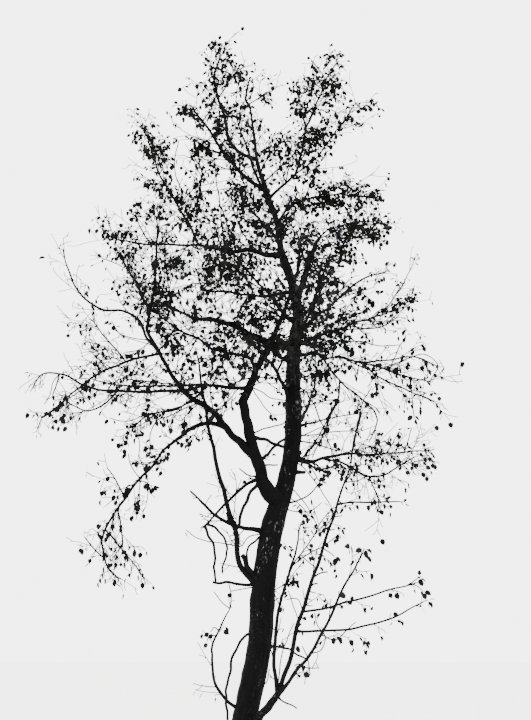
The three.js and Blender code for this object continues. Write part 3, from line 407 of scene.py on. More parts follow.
# Long thin shoots that stand out against the sky: what each grows from, the part of the crown it goes
# with, how far along it starts, its heading, its length, the rise of each equal step, its radius at foot
# and tip, and the leaves at its end, if any.
LONG_SHOOTS = table("on part at bearing length rises foot tip leaves", [
    ("base_sucker", "base", 1, [340, 340, 345, 350], 820, [80, 75, 75, 60], 9, 5),
    ("base_second", "base", 0.71, [345, 345, 350], 600, [35, 25, 35], 6.5, 4.5, 7),
    ("base_second", "base", 0.64, [10, 355, 345, 355, 355], 850, [65, 50, 55, 60, 45], 7, 4.5, 8),
    ("trunk", "base", 0.38, [355, 345, 335, 340], 670, [5, 25, 45, 45], 9, 4.5, 3),
    ("trunk", "base", 0.374, [350, 345, 335], 490, [-15, -5, 30], 5.5, 4.5, 1),
    ("trunk", "base", 0.408, 340, 620, [-45, -55, -65], 6, 4.5, 4),
    ("trunk", "base", 0.445, [350, 345, 335], 750, [-45, -55, -60], 6, 4.5, 3),
    ("base_sucker", "base", 0.29, [160, 165], 300, [70, 70], 5, 4, 4),
    ("base_stem", "base", 1, [35, 35, 345, 350], 630, [85, 80, 70, 65], 5.5, 4),
    ("base_whip", "base", 0.34, [350, 345, 180, 160], 450, [20, 70, 55, 75], 5, 4, 5),
    ("base_whip", "base", 0.48, [345, 340, 350], 360, [-20, 35, 40], 5, 4),
    ("base_whip", "base", 0.32, 190, 100, [60], 4.5, 4),
    ("base_whip", "base", 0.32, 310, 150, [-80], 4.5, 4),
    ("trunk", "base", 0.143, [345, 345, 320], 330, [35, 40, 75], 5.5, 4.5),
    ("base_sucker", "base", 0.34, 170, 210, [65, 0], 4.5, 4),
    ("base_sucker", "base", 0.39, 350, 50, [-20], 5, 4),
    ("base_sucker", "base", 0.42, 350, 70, [-15], 5, 4),
    ("base_sucker", "base", 0.36, 355, 80, [-5], 5, 4),
    ("base_sucker", "base", 0.52, [175, 170], 190, [40, 40], 5, 4.5, 3),
    ("base_sucker", "base", 0.61, 350, 130, [-35], 5.5, 4.5, 4),
    ("base_sucker", "base", 0.69, 350, 60, [10], 5.5, 4.5),
    ("base_sucker", "base", 0.75, 355, 90, [10], 5.5, 4.5),
    ("base_sucker", "base", 0.91, 345, 240, [5, 20], 5.5, 4.5),
    ("trunk", "low_right", 0.487, 350, 820, [10, 10, 5], 6.5, 5),
    ("trunk", "low_right", 0.474, [350, 345, 350], 700, [0, 5, 0], 6, 5, 3),
    ("right_arch_out", "low_right", 0.19, [350, 350, 350, 355, 355, 355, 180], 1280,
     [-30, -25, 15, 20, 15, -45, -60], 7, 4.5, 3),
    ("trunk", "low_right", 0.608, [350, 355, 350, 355, 355], 1180, [-5, 0, 5, -15, 0], 8.5, 5, 2),
    ("right_leafy", "right", 1, [355, 355, 355, 0], 1070, [0, 5, 40, 40], 7.5, 5.5, 3),
    ("right_arch_out", "low_right", 0.65, 350, 420, [65, 60], 5, 4.5, 2),
    ("right_arch_out", "low_right", 0.83, [255, 285], 420, [-85, -85], 5, 4.5, 4),
    ("low_right_out", "low_right", 0.56, 350, 300, [55, 60], 6.5, 5, 7),
    ("low_right_out", "low_right", 0.73, [340, 345], 300, [70, 70], 6, 5.5, 2),
    ("left_level", "low_left", 1, [185, 185, 185, 185, 185, 200, 5], 1230, [0, 0, 5, 5, 0, -55, 10], 7,
     4.5),
    ("left_arm", "low_left", 0.55, [190, 190, 185, 195, 350], 810, [-25, -30, -25, -70, -85], 7, 4.5, 6),
    ("left_arm", "low_left", 0.58, [175, 175, 175, 175, 180], 920, [-20, -15, -10, -20, 10], 7, 4.5, 2),
    ("left_reach", "low_left", 0.26, [170, 175, 175], 480, [25, 20, 50], 5.5, 4.5),
    ("left_arm_rise", "low_left", 0.1, 190, 490, [0, 15, 55], 5.5, 4.5, 4),
    ("left_arch_fall", "low_left", 0.13, [190, 190, 180], 300, [50, 60, 75], 5.5, 4.5, 2),
    ("left_arch_fall", "low_left", 0.06, [170, 165, 175], 500, [60, 85, 80], 5, 4.5),
    ("level_far", "low_left", 0.8, [190, 205, 185], 350, [-60, -85, -65], 5, 4.5),
    ("level_far", "low_left", 0.63, [185, 190, 185, 190], 530, [-35, -40, -45, -40], 6, 4.5),
    ("trunk", "top", 0.887, [345, 350, 350], 580, [65, 55, 40], 9.5, 5.5, 10),
    ("trunk", "top", 0.871, [10, 10, 5], 660, [50, 50, 50], 9.5, 5.5, 10),
    ("top_right", "top", 0.61, [335, 285, 200], 560, [80, 85, 80], 8, 5.5, 14),
    ("top_right_rise", "top", 0.1, 350, 460, [50, 60, 65], 8, 5.5, 12),
    ("trunk_tip", "top", 0.25, [5, 140], 380, [65, 85], 7, 5.5, 3),
    ("top_left", "top", 0.33, [185, 190, 180], 540, [5, 25, 30], 7.5, 5.5, 12),
    ("top_left", "top", 0.5, 175, 400, [20, 25, 40], 7, 5.5, 14),
    ("top_left", "top", 0.68, 190, 280, [-45, -50], 6.5, 5, 10),
    ("top_left", "top", 0.83, 15, 450, [65, 75], 6.5, 5.5, 8),
    ("upper_left_rise", "upper_left", 0.29, [10, 10, 5], 630, [60, 55, 65], 7, 5.5, 10),
    ("upper_left", "upper_left", 0.71, [200, 205, 220], 460, [70, 75, 80], 8, 5.5, 12),
    ("upper_left", "upper_left", 0.55, 170, 640, [75, 70, 75], 8, 5.5, 12),
    ("trunk", "mid_left", 0.642, [190, 185, 190], 650, [20, 25, 10], 11.5, 5, 12),
    ("trunk", "mid_left", 0.666, [170, 175, 170], 710, [35, 30, 35], 11.5, 5, 12),
    ("left_cross", "mid_left", 0.35, [325, 335, 355], 430, [80, 70, 60], 8.5, 5.5, 14),
    ("left_cross", "mid_left", 0.49, [20, 10, 5], 450, [75, 70, 55], 9, 5.5, 12),
    ("left_cross", "mid_left", 0.61, [330, 315, 190], 420, [-75, -80, -75], 8.5, 5.5, 12),
    ("left_cross", "mid_left", 0.45, [200, 190, 185], 610, [-70, -65, -65], 8, 5, 12),
    ("left_bend", "mid_left", 0.24, [190, 185, 220], 480, [-20, -30, -85], 7.5, 4.5, 12),
    ("left_crook", "mid_left", 0.79, 190, 340, [-35, -35, 10], 7.5, 4.5, 10),
    ("crook_out", "mid_left", 0.23, [195, 190, 190], 360, [-65, -65, -65], 6.5, 5, 10),
    ("left_arm_rise", "low_left", 0.02, [345, 350, 355], 280, [35, 10, -25], 6, 4.5, 10),
    ("right_leafy", "right", 0.66, [345, 350, 355], 400, [-30, -35, -40], 9.5, 5.5, 9),
    ("right_leafy", "right", 0.85, [355, 345, 305], 410, [-40, -60, -85], 9.5, 5.5, 9),
    ("right_high", "right", 0.48, [350, 355, 355], 430, [35, 35, 25], 9, 5.5, 12),
    ("right_high", "right", 0.63, [5, 10, 10], 430, [-50, -55, -65], 9, 5.5, 10),
    ("right_high", "right", 0.35, 15, 560, [70, 70, 70], 8.5, 5.5, 14),
    ("right_fork", "right", 0.6, [350, 350, 355], 430, [0, 5, 25], 9.5, 5.5, 12),
    ("left_arch_fall", "low_left", 0.2, 195, 120, [5, -70], 5.5, 4.5, 10),
    ("left_arch_fall", "low_left", 0.15, [5, 10], 150, [-10, -30], 5.5, 4.5, 9),
    ("left_arch_fall", "low_left", 0.02, [355, 350], 190, [40, 45], 5.5, 4.5, 8),
    ("left_arch", "low_left", 0.92, [170, 165], 190, [50, 65], 5.5, 4.5, 9),
    ("base_sucker", "base", 0.78, [190, 195], 180, [-60, -55], 5.5, 4.5, 6),
    ("upper_left_rise", "upper_left", 0.18, [10, 25, 70, 170], 990, [65, 80, 85, 65], 11, 6, 8),
    ("upper_left_rise", "upper_left", 0.26, [285, 190, 205, 345], 960, [85, 70, 85, 80], 7, 5.5),
    ("upper_left", "upper_left", 0.67, [165, 160, 165, 160], 1300, [80, 85, 80, 85], 8, 5.5, 3),
    ("trunk", "top", 0.817, [195, 195, 200, 190], 650, [20, 40, 65, 60], 7.5, 5.5),
    ("trunk", "upper_left", 0.757, [195, 195, 200, 210, 210], 1010, [5, 20, 55, 70, 80], 7.5, 5.5, 3),
    ("upper_left", "upper_left", 0.92, [5, 5, 0, 5], 720, [60, 50, 40, -25], 7.5, 5, 4),
    ("base_sprout", "low_left", 1, 180, 240, [90, 80], 5.5, 5),
    ("base_sprout", "low_left", 0.99, [195, 195, 190], 230, [35, 45, 50], 5, 4.5),
    ("base_sprout", "low_left", 0.74, [190, 200], 110, [0, -55], 5, 4.5, 3),
    ("base_sprout", "low_left", 0.79, [170, 155], 110, [30, -55], 5, 4.5, 3),
    ("trunk", "low_left", 0.273, [190, 185, 190], 330, [-10, -10, -10], 5.5, 4.5, 2),
    ("trunk", "low_left", 0.34, [190, 185, 195, 185, 185, 190, 185, 185], 950,
     [-10, -15, -50, 5, 10, 5, 20, 35], 5.5, 4.5, 1),
    ("upper_left_rise", "upper_left", 0.9, [345, 355, 355], 350, [-50, -40, 30], 7, 5.5, 13),
    ("upper_left_rise", "upper_left", 0.8, [15, 10, 5], 270, [-35, 35, 35], 7, 5.5, 13),
    ("upper_left_rise", "upper_left", 0.95, [345, 345, 355], 200, [-40, -45, -45], 6.5, 6, 11),
    ("upper_left_rise", "upper_left", 0.67, [170, 165, 170], 310, [55, 60, 75], 7, 5.5, 11),
    ("right_fork", "right", 0.46, [350, 350, 355], 440, [10, 15, 20], 7.5, 5.5, 13),
    ("right_fork", "right", 0.28, [10, 5, 5], 470, [-5, 5, 15], 7.5, 5.5, 13),
    ("right_fork", "right", 0.71, 5, 450, [40, 25, -30], 8, 5.5, 13),
    ("right_spike", "right", 0.1, [350, 355, 355], 390, [-60, -45, -15], 7.5, 5.5, 13),
    ("right_fork", "right", 0.59, [220, 305, 340], 510, [80, 85, 70], 8, 5.5, 11),
    ("trunk", "mid_left", 0.651, 175, 560, [5, 5, -20], 8.5, 5, 13),
    ("left_cross", "mid_left", 0.27, [330, 230, 185], 410, [80, 85, 55], 8, 5.5, 13),
    ("crook_out", "mid_left", 0.26, [185, 190, 185], 310, [-50, -35, -25], 6.5, 5, 13),
    ("crook_out", "mid_left", 0.55, [190, 185, 185], 330, [-65, -60, -50], 6, 5, 11),
    ("left_arm_rise", "low_left", 0.16, 5, 340, [0, -10, -35], 5.5, 4.5, 11),
    ("right_leafy", "right", 0.8, [350, 350, 355], 380, [55, 45, 25], 8, 5.5, 13),
    ("left_bend", "mid_left", 0.14, [345, 345, 335], 420, [-30, -35, -15], 6, 4.5, 7),
    ("left_bend", "mid_left", 0.15, [335, 330, 330], 440, [-60, -55, -50], 5.5, 4.5, 7),
    ("base_sucker_2", "base", 0.91, [340, 340, 335], 130, [30, 30, 35], 5, 4.5, 6),
    ("base_sucker_2", "base", 0.94, [10, 10, 15], 130, [-15, -30, -50], 5, 4, 5),
    ("base_sucker_3", "base", 0.94, [350, 350, 345], 120, [30, 30, 20], 5, 4, 4),
    ("base_sucker", "base", 0.9, [350, 345, 345], 150, [50, 55, 60], 5, 4.5, 4),
    ("base_whip", "base", 0.93, [350, 335], 150, [55, 65], 4.5, 4, 5),
    ("trunk", "base", 0.264, 350, 310, [15, 35], 5, 4.5, 7),
    ("trunk", "base", 0.392, [355, 340], 370, [-30, -50], 5, 4.5, 6),
    ("low_right", "low_right", 0.6, [345, 355, 350], 220, [-30, -40, -45], 6, 5, 11),
    ("low_right", "low_right", 0.4, [10, 10, 5], 320, [60, 50, 35], 5.5, 5, 7),
    ("trunk", "low_right", 0.469, [350, 345, 350], 450, [20, 20, 15], 6, 5, 7),
    ("trunk", "low_right", 0.511, [350, 345, 355], 500, [15, 10, 10], 6, 5, 7),
    ("trunk", "low_right", 0.554, 350, 540, [15, 15, 15], 6.5, 5, 11),
    ("trunk", "low_right", 0.456, [345, 350, 335], 480, [-45, -50, -60], 6, 4.5, 7),
    ("top_right", "top", 0.61, [195, 200, 195], 580, [75, 80, 85], 7.5, 5.5, 11),
    ("trunk", "top", 0.899, 350, 510, [65, 65, 65], 7, 5.5, 11),
    ("top_right_rise", "top", 0.78, [195, 190, 185], 360, [65, 55, 55], 7, 6, 11),
    ("top_right_rise", "top", 0.7, [170, 175, 175], 360, [45, 45, 45], 6.5, 6, 11),
    ("top_left", "top", 0.68, [350, 350, 355], 340, [-40, -55, -60], 6, 5, 11),
    ("left_arm_rise", "low_left", 0.1, 190, 290, [-50, -35, -15], 5.5, 4.5, 11),
    ("left_arch", "low_left", 0.92, 185, 240, [-30, -5, 35], 5.5, 4.5, 11),
    ("right_leafy_out_2", "right", 0.04, [345, 350, 355], 220, [45, 40, 30], 6.5, 6, 11),
    ("right_leafy_out_2", "right", 0.25, 10, 260, [45, 50, 40], 6.5, 6, 11),
    ("right_leafy_out_2", "right", 0.51, [345, 345, 355], 210, [50, 45, 30], 6.5, 6, 11),
    ("right_leafy_out_2", "right", 0.77, [5, 10, 5], 200, [45, 40, 35], 6.5, 6, 9),
    ("right_leafy", "right", 1, [350, 345, 355], 340, [45, 45, 50], 7.5, 5.5, 11),
    ("right_leafy", "right", 0.94, [15, 10, 5], 550, [65, 60, 55], 7.5, 5.5, 11),
    ("right_leafy_out", "right", 0.09, [350, 355, 355], 350, [40, 45, 45], 7, 5.5, 11),
    ("right_leafy_out", "right", 0.14, [10, 5, 10], 310, [-40, -45, -55], 7, 5.5, 11),
    ("right_leafy_out", "right", 0.03, [350, 350, 355], 310, [-55, -45, -35], 7, 5.5, 11),
    ("right_arm_out", "right", 0.36, [10, 5, 0], 330, [10, -25, -40], 6, 5, 11),
])

# Looks: the leaf shapes with their half widths as shares of the length, how far the edges fold up and how
# far the tip droops, and the shades of leaves and bark from dark to pale, all near black: partly the
# things' own colour, partly painted shade.
LEAF_SHAPES = {
    "Flat Leaf": ("flat_leaf", (0.39, 0.34), 0.12, 0.1),
    "Folded Leaf": ("folded_leaf", (0.34, 0.3), 0.45, 0.2),
    "Curled Leaf": ("curled_leaf", (0.22, 0.18), 0.3, 0.35),
}
LEAF_STALK, STALK_WIDTH = 0.28, 0.02
EDGES_LAG = 0.04  # the blade's edges lag behind its midrib
FIRST_RIB, MORE_STEPS = 0.75, 0.45  # steps to the first width, and steps in all beyond one for each width
# Three leaf tones dealt out at random, all near black: partly the dead leaves' own colour and partly
# painted shade.
LEAF_TONES = {
    "First Finish": ("Dark leaf in painted shade", ["#050505", "#090908", "#0e0e0d"]),
    "Second Finish": ("Grey leaf in painted shade", ["#080807", "#0c0c0b", "#131312"]),
    "Third Finish": ("Pale leaf in painted shade", ["#0b0b0a", "#111110", "#1a1a18"]),
}
# The bark's near-black shades: partly its own colour and partly painted shade.
BARK_IN_PAINTED_SHADE = ["#040404", "#070707", "#0d0d0c"]
BARK_ROUGH, LEAF_ROUGH, FLOOR_ROUGH = 0.88, 0.72, 0.95
SHEEN, IOR = 0.04, 1.45
BARK_STOPS, LEAF_STOPS, FLOOR_STOPS = (0.3, 0.62, 0.85), (0.32, 0.55, 0.75), (0.3, 0.7)
BARK_BUMP, LEAF_BUMP, LEAF_RELIEF = 0.7, 0.4, 0.001

# Patterns: the size of their grains in metres, how fine and how rough they are, and a shift that keeps two
# of them apart. Furrows take their size from the limb.
FURROWS = 5.0, 0.6
# The next two patterns place the bark's pale flecks, which are painted highlights where light would catch
# its rough surface.
PAINTED_HIGHLIGHT_PATCHES = (0.11, 0.11, 0.3), 2.0, 0.5, (3.1, 1.7, 0.4)
PAINTED_HIGHLIGHT_SPECKS = (0.02, 0.02, 0.04), 4.0, 0.75, (7.9, 2.3, 5.1)
LEAF_BLOTCHES = (0.014, 0.014, 0.014), 3.0, 0.6
FLOOR_MOTTLE = (0.35, 0.35, 0.35), 2.0, 0.5
# How softly the painted highlight specks and patches fade in, and the share of them left low on the trunk.
HIGHLIGHT_SPECK_EDGE, HIGHLIGHT_PATCH_EDGE, FEW_HIGHLIGHTS_LOW = 0.04, 0.12, 0.2
RIDGES_APART = 17.3  # how far from one limb's ridge pattern to the next one's
RIDGE_GRAIN = {"Scale": 1.0, "Detail": 3.0, "Roughness": 0.55}
FULL_RIDGES = 0.035  # the radius in metres that carries full ridges
RUN_SHIFT = 0.37  # shifts a line's ridges by this many millimetres for each point of the lines before it

# Skins: the sides of a tube and its ridges' height, width and length in metres. The boughs' ridges are
# these shares of the trunk's.
DEAD_SKIN = 12, (0.006, 0.014, 0.05)
STEM_SKIN = 8, (0.0015, 0.012, 0.05)
TWIG_SKIN = 3, (0.0, 0.01, 0.03)
BOUGH_RIDGES = (0.8, 0.75, 0.6)
MANY_SIDES, FEWER_SIDES, STOUT_FOOT = 28, 20, 30  # a bough's tube has more sides if its foot is stout

# The trunk's skin, in millimetres: how its rings crowd low down, the height over which they turn from
# level to square, the radius that carries full relief, and its root lobes and lumps.
RINGS_LOW, LEVEL_HEIGHT, FULL_RELIEF = 1.15, 160, 60
LOBE_MIDDLE, LOBE_HEIGHT = 0.75, 0.5
LUMP_SIZE, LUMP_HEIGHT = (0.1, 0.1, 0.16), 8.0  # the size in metres
RIDGE_NOISE = (0.8, 2.1, 3)  # how rough the ridges are, how much finer each octave is, and the octaves
CREASE, CREASE_WAVE = 0.6, 1.9  # sharp creases among the ridges, and how much finer they are

# The stage: the lamp's breadth and turn in degrees, the camera's sensor in millimetres, and how far the
# camera sees in metres.
LAMP_WIDTH, LAMP_TURN = 70, (38, 0, -35)
SENSOR, FARTHEST = 36.0, 400.0

# Places and headings

def unit(vector):
    """The vector at length one."""
    return vector / np.linalg.norm(vector)


def heading(bearing, rise):
    """The unit step of a heading: a bearing in plan and a rise above level, in degrees."""
    b, r = math.radians(bearing), math.radians(rise)
    return np.array([math.cos(r) * math.cos(b), math.cos(r) * math.sin(b), math.sin(r)])


def turned(vector, axis, angle):
    """The vector turned about a unit axis by an angle in radians."""
    return (vector * math.cos(angle) + np.cross(axis, vector) * math.sin(angle)
            + axis * np.dot(axis, vector) * (1 - math.cos(angle)))


def square_to(along):
    """Any direction square to `along`, level where it can be."""
    side = np.cross(along, UP)
    length = np.linalg.norm(side)
    return np.array([1.0, 0.0, 0.0]) if length < UPRIGHT else side / length


def heading_off(along, splay, turn, lift):
    """A way that leaves `along` at a splay in degrees, turned round it, and lifts or hangs."""
    aside = turned(square_to(along), along, turn)
    out = along * math.cos(math.radians(splay)) + aside * math.sin(math.radians(splay))
    return unit(out + UP * lift)


class Dice:
    """Seeded throws between 0 and 1."""

    def __init__(self, seed):
        self.state = int(seed) & 0xFFFFFFFF
        self()
        self()

    def __call__(self):
        self.state = (self.state * 1664525 + 1013904223) & 0xFFFFFFFF
        return self.state / 4294967296

    def of(self, pair):
        """The pair's first number and a part of its second."""
        return pair[0] + pair[1] * self()

    def turn(self):
        """An angle all round, in radians."""
        return 2 * math.pi * self()


class MiddleLine:
    """The smooth middle line that leaves a place and takes equal steps, each with its own rise."""

    def __init__(self, start, row):
        rises = row["rises"]
        self.steps = len(rises)
        knots = [np.array(start, float)]
        for i, rise in enumerate(rises):
            bearing = row["bearing"]
            if isinstance(bearing, list):
                bearing = bearing[i]
            else:
                bearing += row.get("sweep", 0) * i / max(self.steps - 1, 1)
            knots.append(knots[-1] + heading(bearing, rise) * row["length"] / self.steps)
        self.knots = [2 * knots[0] - knots[1], *knots, 2 * knots[-1] - knots[-2]]

    def point(self, share):
        """The place at this share of the line."""
        place = share * self.steps
        first = min(int(place), self.steps - 1)
        w = place - first
        p0, p1, p2, p3 = self.knots[first:first + 4]
        t1, t2 = 0.5 * (p2 - p0), 0.5 * (p3 - p1)
        return p1 + w * t1 + w * w * (3 * (p2 - p1) - 2 * t1 - t2) + w**3 * (2 * (p1 - p2) + t1 + t2)

    def tangent(self, share):
        """The way the line runs at this share of it."""
        return unit(self.point(min(share + NEARBY, 1)) - self.point(max(share - NEARBY, 0)))

    def strayed(self, share, run, phases, waves, sway, loose):
        """The place at this share, pushed aside both ways by a long and a short wave each."""
        along = self.tangent(share)
        side = square_to(along)
        across, over = (sway[0] * math.sin(run / waves[i] + phases[i])
                        + sway[1] * math.sin(run / waves[i + 1] + phases[i + 1]) for i in (0, 2))
        return self.point(share) + (side * across + np.cross(along, side) * over) * loose


# Limbs, stems and arms: the growing rule

def trunk_radius(share):
    """The trunk's radius without its flare."""
    girth = TRUNK["girth"]
    return float(np.interp(min(share, 1) * (len(girth) - 1), range(len(girth)), girth))


class Limb:
    """The trunk or a bough: its middle line and its radius along it."""

    def __init__(self, row, parent=None):
        self.row = row
        self.parent = parent
        self.length = row["length"]
        self.goes_on = parent is not None and "at" not in row
        if parent is None:
            start = np.zeros(3)
        else:
            start = parent.line.point(row.get("at", 1))
            if self.goes_on:
                start = start + parent.line.tangent(1) * GAP
        self.line = MiddleLine(start, row)

    def radius(self, share):
        """The limb's radius at this share of it."""
        if self.parent is None:
            return trunk_radius(share)
        row = self.row
        out = max(share * self.length - self.parent.radius(row.get("at", 1)), 0)
        swell = 0 if self.goes_on else COLLAR * math.exp(-out / (COLLAR_REACH * row["foot"]))
        return row["foot"] + (row["tip"] - row["foot"]) * share + swell * row["foot"]


class Stem:
    """A mass's stem or one of its arms."""

    def __init__(self, start, row, foot, sides, parent_radius):
        self.line = MiddleLine(start, row)
        self.length = row["length"]
        self.foot = foot
        self.sides = sides
        self.parent_radius = parent_radius

    def radius(self, share):
        """The stem's radius at this share of it."""
        return self.foot + (STEM_TIP - self.foot) * share

    def inner_radius(self, share):
        """From the middle to the flats of the plain model's stem."""
        return self.radius(share) * math.cos(math.pi / self.sides)


class Mass:
    """A mass: its row, its stem and arms, and the seed of its twigs."""

    def __init__(self, index, row, stems):
        self.index = index
        self.row = row
        self.stems = stems
        self.seed = MASS_SEED * (1 + index)


def lay_out_limbs():
    """The trunk and every bough, by name."""
    limbs = {"trunk": Limb(TRUNK)}
    for row in BOUGHS:
        limbs[row["name"]] = Limb(row, limbs[row["on"]])
    return limbs


def seats(rows, tangent):
    """Which way off the middle of a tip each of the stems that share it stands."""
    ways = []
    for row in rows:
        first = row["bearing"][0] if isinstance(row["bearing"], list) else row["bearing"]
        ways.append(heading(first, row["rises"][0]))
    if len(rows) == 1:
        return [np.zeros(3)]
    mean = sum(ways) / len(ways)
    aside = [way - mean for way in ways]
    return [unit(side - tangent * np.dot(side, tangent)) for side in aside]


def lay_out_masses(limbs):
    """Each mass with its stem and arms."""
    masses = []
    for index, row in enumerate(MASSES):
        parent = limbs[row["on"]]
        start = parent.line.point(row.get("at", 1))
        foot = row.get("foot")
        if "at" not in row:
            along = parent.line.tangent(1)
            sharing = [other for other in MASSES if other["on"] == row["on"] and "at" not in other]
            tip = parent.radius(1)
            foot = tip * STEM_FOOT[len(sharing) - 1]
            aside = seats(sharing, along)[sharing.index(row)]
            start = start + aside * SEAT * tip + along * GAP
        stem = Stem(start, row, foot, STEM_SIDES, parent.radius(row.get("at", 1)))
        stems = [stem]
        for arm in table("at bearing length rises", row.get("arms", [])):
            at = arm["at"]
            stems.append(Stem(stem.line.point(at), arm, FOOT_SHARE * stem.inner_radius(at), ARM_SIDES,
                              stem.radius(at)))
        masses.append(Mass(index, row, stems))
    return masses


class Sprig:
    """A twig or stalk and the small spray at its end: its foot and tip, and the spray's heading."""

    def __init__(self, base, out, length, foot, roll):
        self.base = base
        self.tip = base + out * length
        self.foot = foot
        self.flat = turned(square_to(out), out, roll.turn())
        keel = np.cross(self.flat, out)
        self.way = unit(out + keel * BLADE_TILT * (roll() - 0.5))
        self.blade = SPRAY_LENGTH * (1 + BLADE_SPREAD * (roll() - 0.5))
        self.bare = False

    def spots(self):
        """Places along it and at the spray's end and sides."""
        spots = [self.base + (self.tip - self.base) * i / 6 for i in range(1, 7)]
        if not self.bare:
            wide = self.tip + self.way * SPRAY_WIDEST * self.blade
            half = 0.5 * SPRAY_WIDTH * self.blade * self.flat
            spots += [self.tip + self.way * self.blade, wide + half, wide - half]
        return np.array(spots)


def sprigs_of(mass, stem, seed):
    """The twigs of one stem, each with its side sprays, in the order in which they grow."""
    row = mass.row
    count = max(1, math.floor(row["twigs"] * stem.length / METRE + 0.5))
    for k in range(count):
        roll = Dice(seed + TWIG_SEED * k)
        share = FIRST_TWIG + TWIG_SPAN * (k + TWIG_PLACE[0] + TWIG_PLACE[1] * roll()) / count
        base = stem.line.point(share)
        turn = math.radians(GOLDEN_TURN * k + TURN_SPREAD * roll())
        out = heading_off(stem.line.tangent(share), SPLAY + SPLAY_SPREAD * (roll() - 0.5), turn,
                          row["lift"] + LIFT_SPREAD * (roll() - 0.5))
        length = row["reach"] * (SHORTEST + (1 - SHORTEST) * roll()) * (1 - REACH_LOSS * share)
        foot = min(TWIG_FOOT, FOOT_SHARE * stem.inner_radius(share))
        twig = Sprig(base, out, length, foot, roll)
        leaves = math.floor(row["leaves"] + roll())
        twig.bare = leaves == 0
        side = []
        for j in range(1, leaves):
            root = twig.tip + (base - twig.tip) * SIDE_STEP * (j + FIRST_SIDE)
            way = heading_off(out, SIDE_SPLAY, roll.turn(), 0)
            side.append(Sprig(root, way, STALK, 0.5 * FOOT_SHARE * TWIG_TIP, roll))
        yield k, twig, side


class Space:
    """The room that each mass has to itself: nearer to its own stems than to any other mass's, clear of
    every limb and above the ground."""

    def __init__(self, limbs, masses):
        self.limb_pieces = self.gather([(l.line, l.radius, LIMB_PIECES) for l in limbs.values()])
        each = [[(s.line, s.radius, 2 * s.line.steps) for s in mass.stems] for mass in masses]
        self.mass_pieces = self.gather([piece for stems in each for piece in stems])
        counts = [sum(count for _, _, count in stems) for stems in each]
        self.starts = np.concatenate([[0], np.cumsum(counts)[:-1]])
        self.least, self.most = (np.array(corner) / MM for corner in CAD_BOX)
        self.least -= BEYOND
        self.most += BEYOND

    @staticmethod
    def gather(lines):
        """Short straight pieces of middle lines: where each starts, how it runs and its radius."""
        starts, spans, radii = [], [], []
        for line, radius, count in lines:
            for i in range(count):
                starts.append(line.point(i / count))
                spans.append(line.point((i + 1) / count) - starts[-1])
                radii.append(radius(i / count))
        return np.array(starts), np.array(spans), np.array(radii)

    @staticmethod
    def distances(points, pieces):
        """How far every point is from every piece's skin."""
        starts, spans, radii = pieces
        offset = points[:, None, :] - starts
        share = np.clip((offset * spans).sum(2) / (spans * spans).sum(1), 0, 1)
        return np.linalg.norm(offset - share[..., None] * spans, axis=2) - radii

    def clear_of_limbs(self, points):
        """Whether all these points are above the ground, within the crown's reach and clear of limbs."""
        if points[:, 2].min() < CLEAR or (points < self.least).any() or (points > self.most).any():
            return False
        return self.distances(points, self.limb_pieces).min() >= CLEAR

    def fits(self, points, mass):
        """Whether all these points are in the mass's own space."""
        if not self.clear_of_limbs(points):
            return False
        near = np.minimum.reduceat(self.distances(points, self.mass_pieces), self.starts, axis=1)
        own = near[:, mass.index] + 2 * CLEAR
        near[:, mass.index] = np.inf
        return bool((near.min(1) > own).all())


# Finer growth: side twigs, spurs, shoots and sprays of leaves

class Growth:
    """What one part of the crown is made of: thin lines with their radii, and leaves."""

    def __init__(self):
        self.stems = []
        self.twigs = []
        self.leaves = []


def bowed(base, tip, roll, bow=TWIG_BOW, step=TWIG_STEP, curl=0.0):
    """A thin line from base to tip that bows a little. With a curl, its end swings aside."""
    run = tip - base
    length = np.linalg.norm(run)
    along = run / length
    count = max(2, int(length / step))
    side = turned(square_to(along), along, roll.turn())
    other = np.cross(along, side)
    places = []
    for i in range(count + 1):
        share = i / count
        bulge = math.sin(math.pi * share)
        loose = STRAY * length * min(1.0, STRAY_SOON * bulge)
        aside = bow * bulge + curl * share**CURL_LATE
        place = base + run * (share - CURL_PULL * curl * share**PULL_LATE) + side * aside * length
        places.append(place + (side * (roll() - 0.5) + other * (roll() - 0.5)) * 2 * loose)
    return np.array(places)


def on_path(path, share):
    """The place at this share of a path, and the way it runs there."""
    place = share * (len(path) - 1)
    first = min(int(place), len(path) - 2)
    step = path[first + 1] - path[first]
    return path[first] + step * (place - first), unit(step)


def tapered(path, foot, tip):
    """Radii that fall evenly along a path."""
    return foot + (tip - foot) * np.linspace(0, 1, len(path))


def add_leaf(growth, place, along, roll, droop, tone):
    """One leaf: its stalk's foot, the way it points, the way it faces, its length and its look. None hangs
    down to the ground."""
    if place[2] < LOWEST_LEAF:
        return
    loose = np.array([roll() - 0.5, roll() - 0.5, roll() - 0.5])
    way = unit(along * LEAF_ALONG + loose * LEAF_LOOSE - UP * droop)
    face = np.array([roll() - 0.5, roll() - 0.5, roll() - 0.5]) + LEAF_UP * UP
    length = LEAF_SIZE + LEAF_SPREAD * (roll() - 0.5)
    shape = int(len(LEAF_SHAPES) * roll())
    growth.leaves.append((place, way, unit(face - way * np.dot(face, way)), length, shape, tone))


def add_leaves(growth, path, count, roll, droop, tone, low):
    """Leaves along the end of a path, the first at its tip."""
    for j in range(count):
        share = 1.0 if j == 0 else low + (1 - low) * roll()
        place, along = on_path(path, share)
        side = heading_off(along, TIP_LEAF_SPLAY if j == 0 else LEAF_SPLAY, roll.turn(), 0)
        add_leaf(growth, place, side, roll, droop, tone)


class Habit:
    """How one mass or limb branches and bears leaves: the clear room that its twigs must keep to, how
    lush it is, how far its twigs lift, and how near together its side twigs stand."""

    def __init__(self, fits, lush, lift, sizes, lively=1.0):
        self.fits = fits
        self.lush = lush
        self.lift = lift
        self.sizes = sizes
        self.spacing = sizes.side_spacing / MM / lively
        self.droop = max(LEAST_DROOP, DROOP - LIFT_HOLDS * lift)


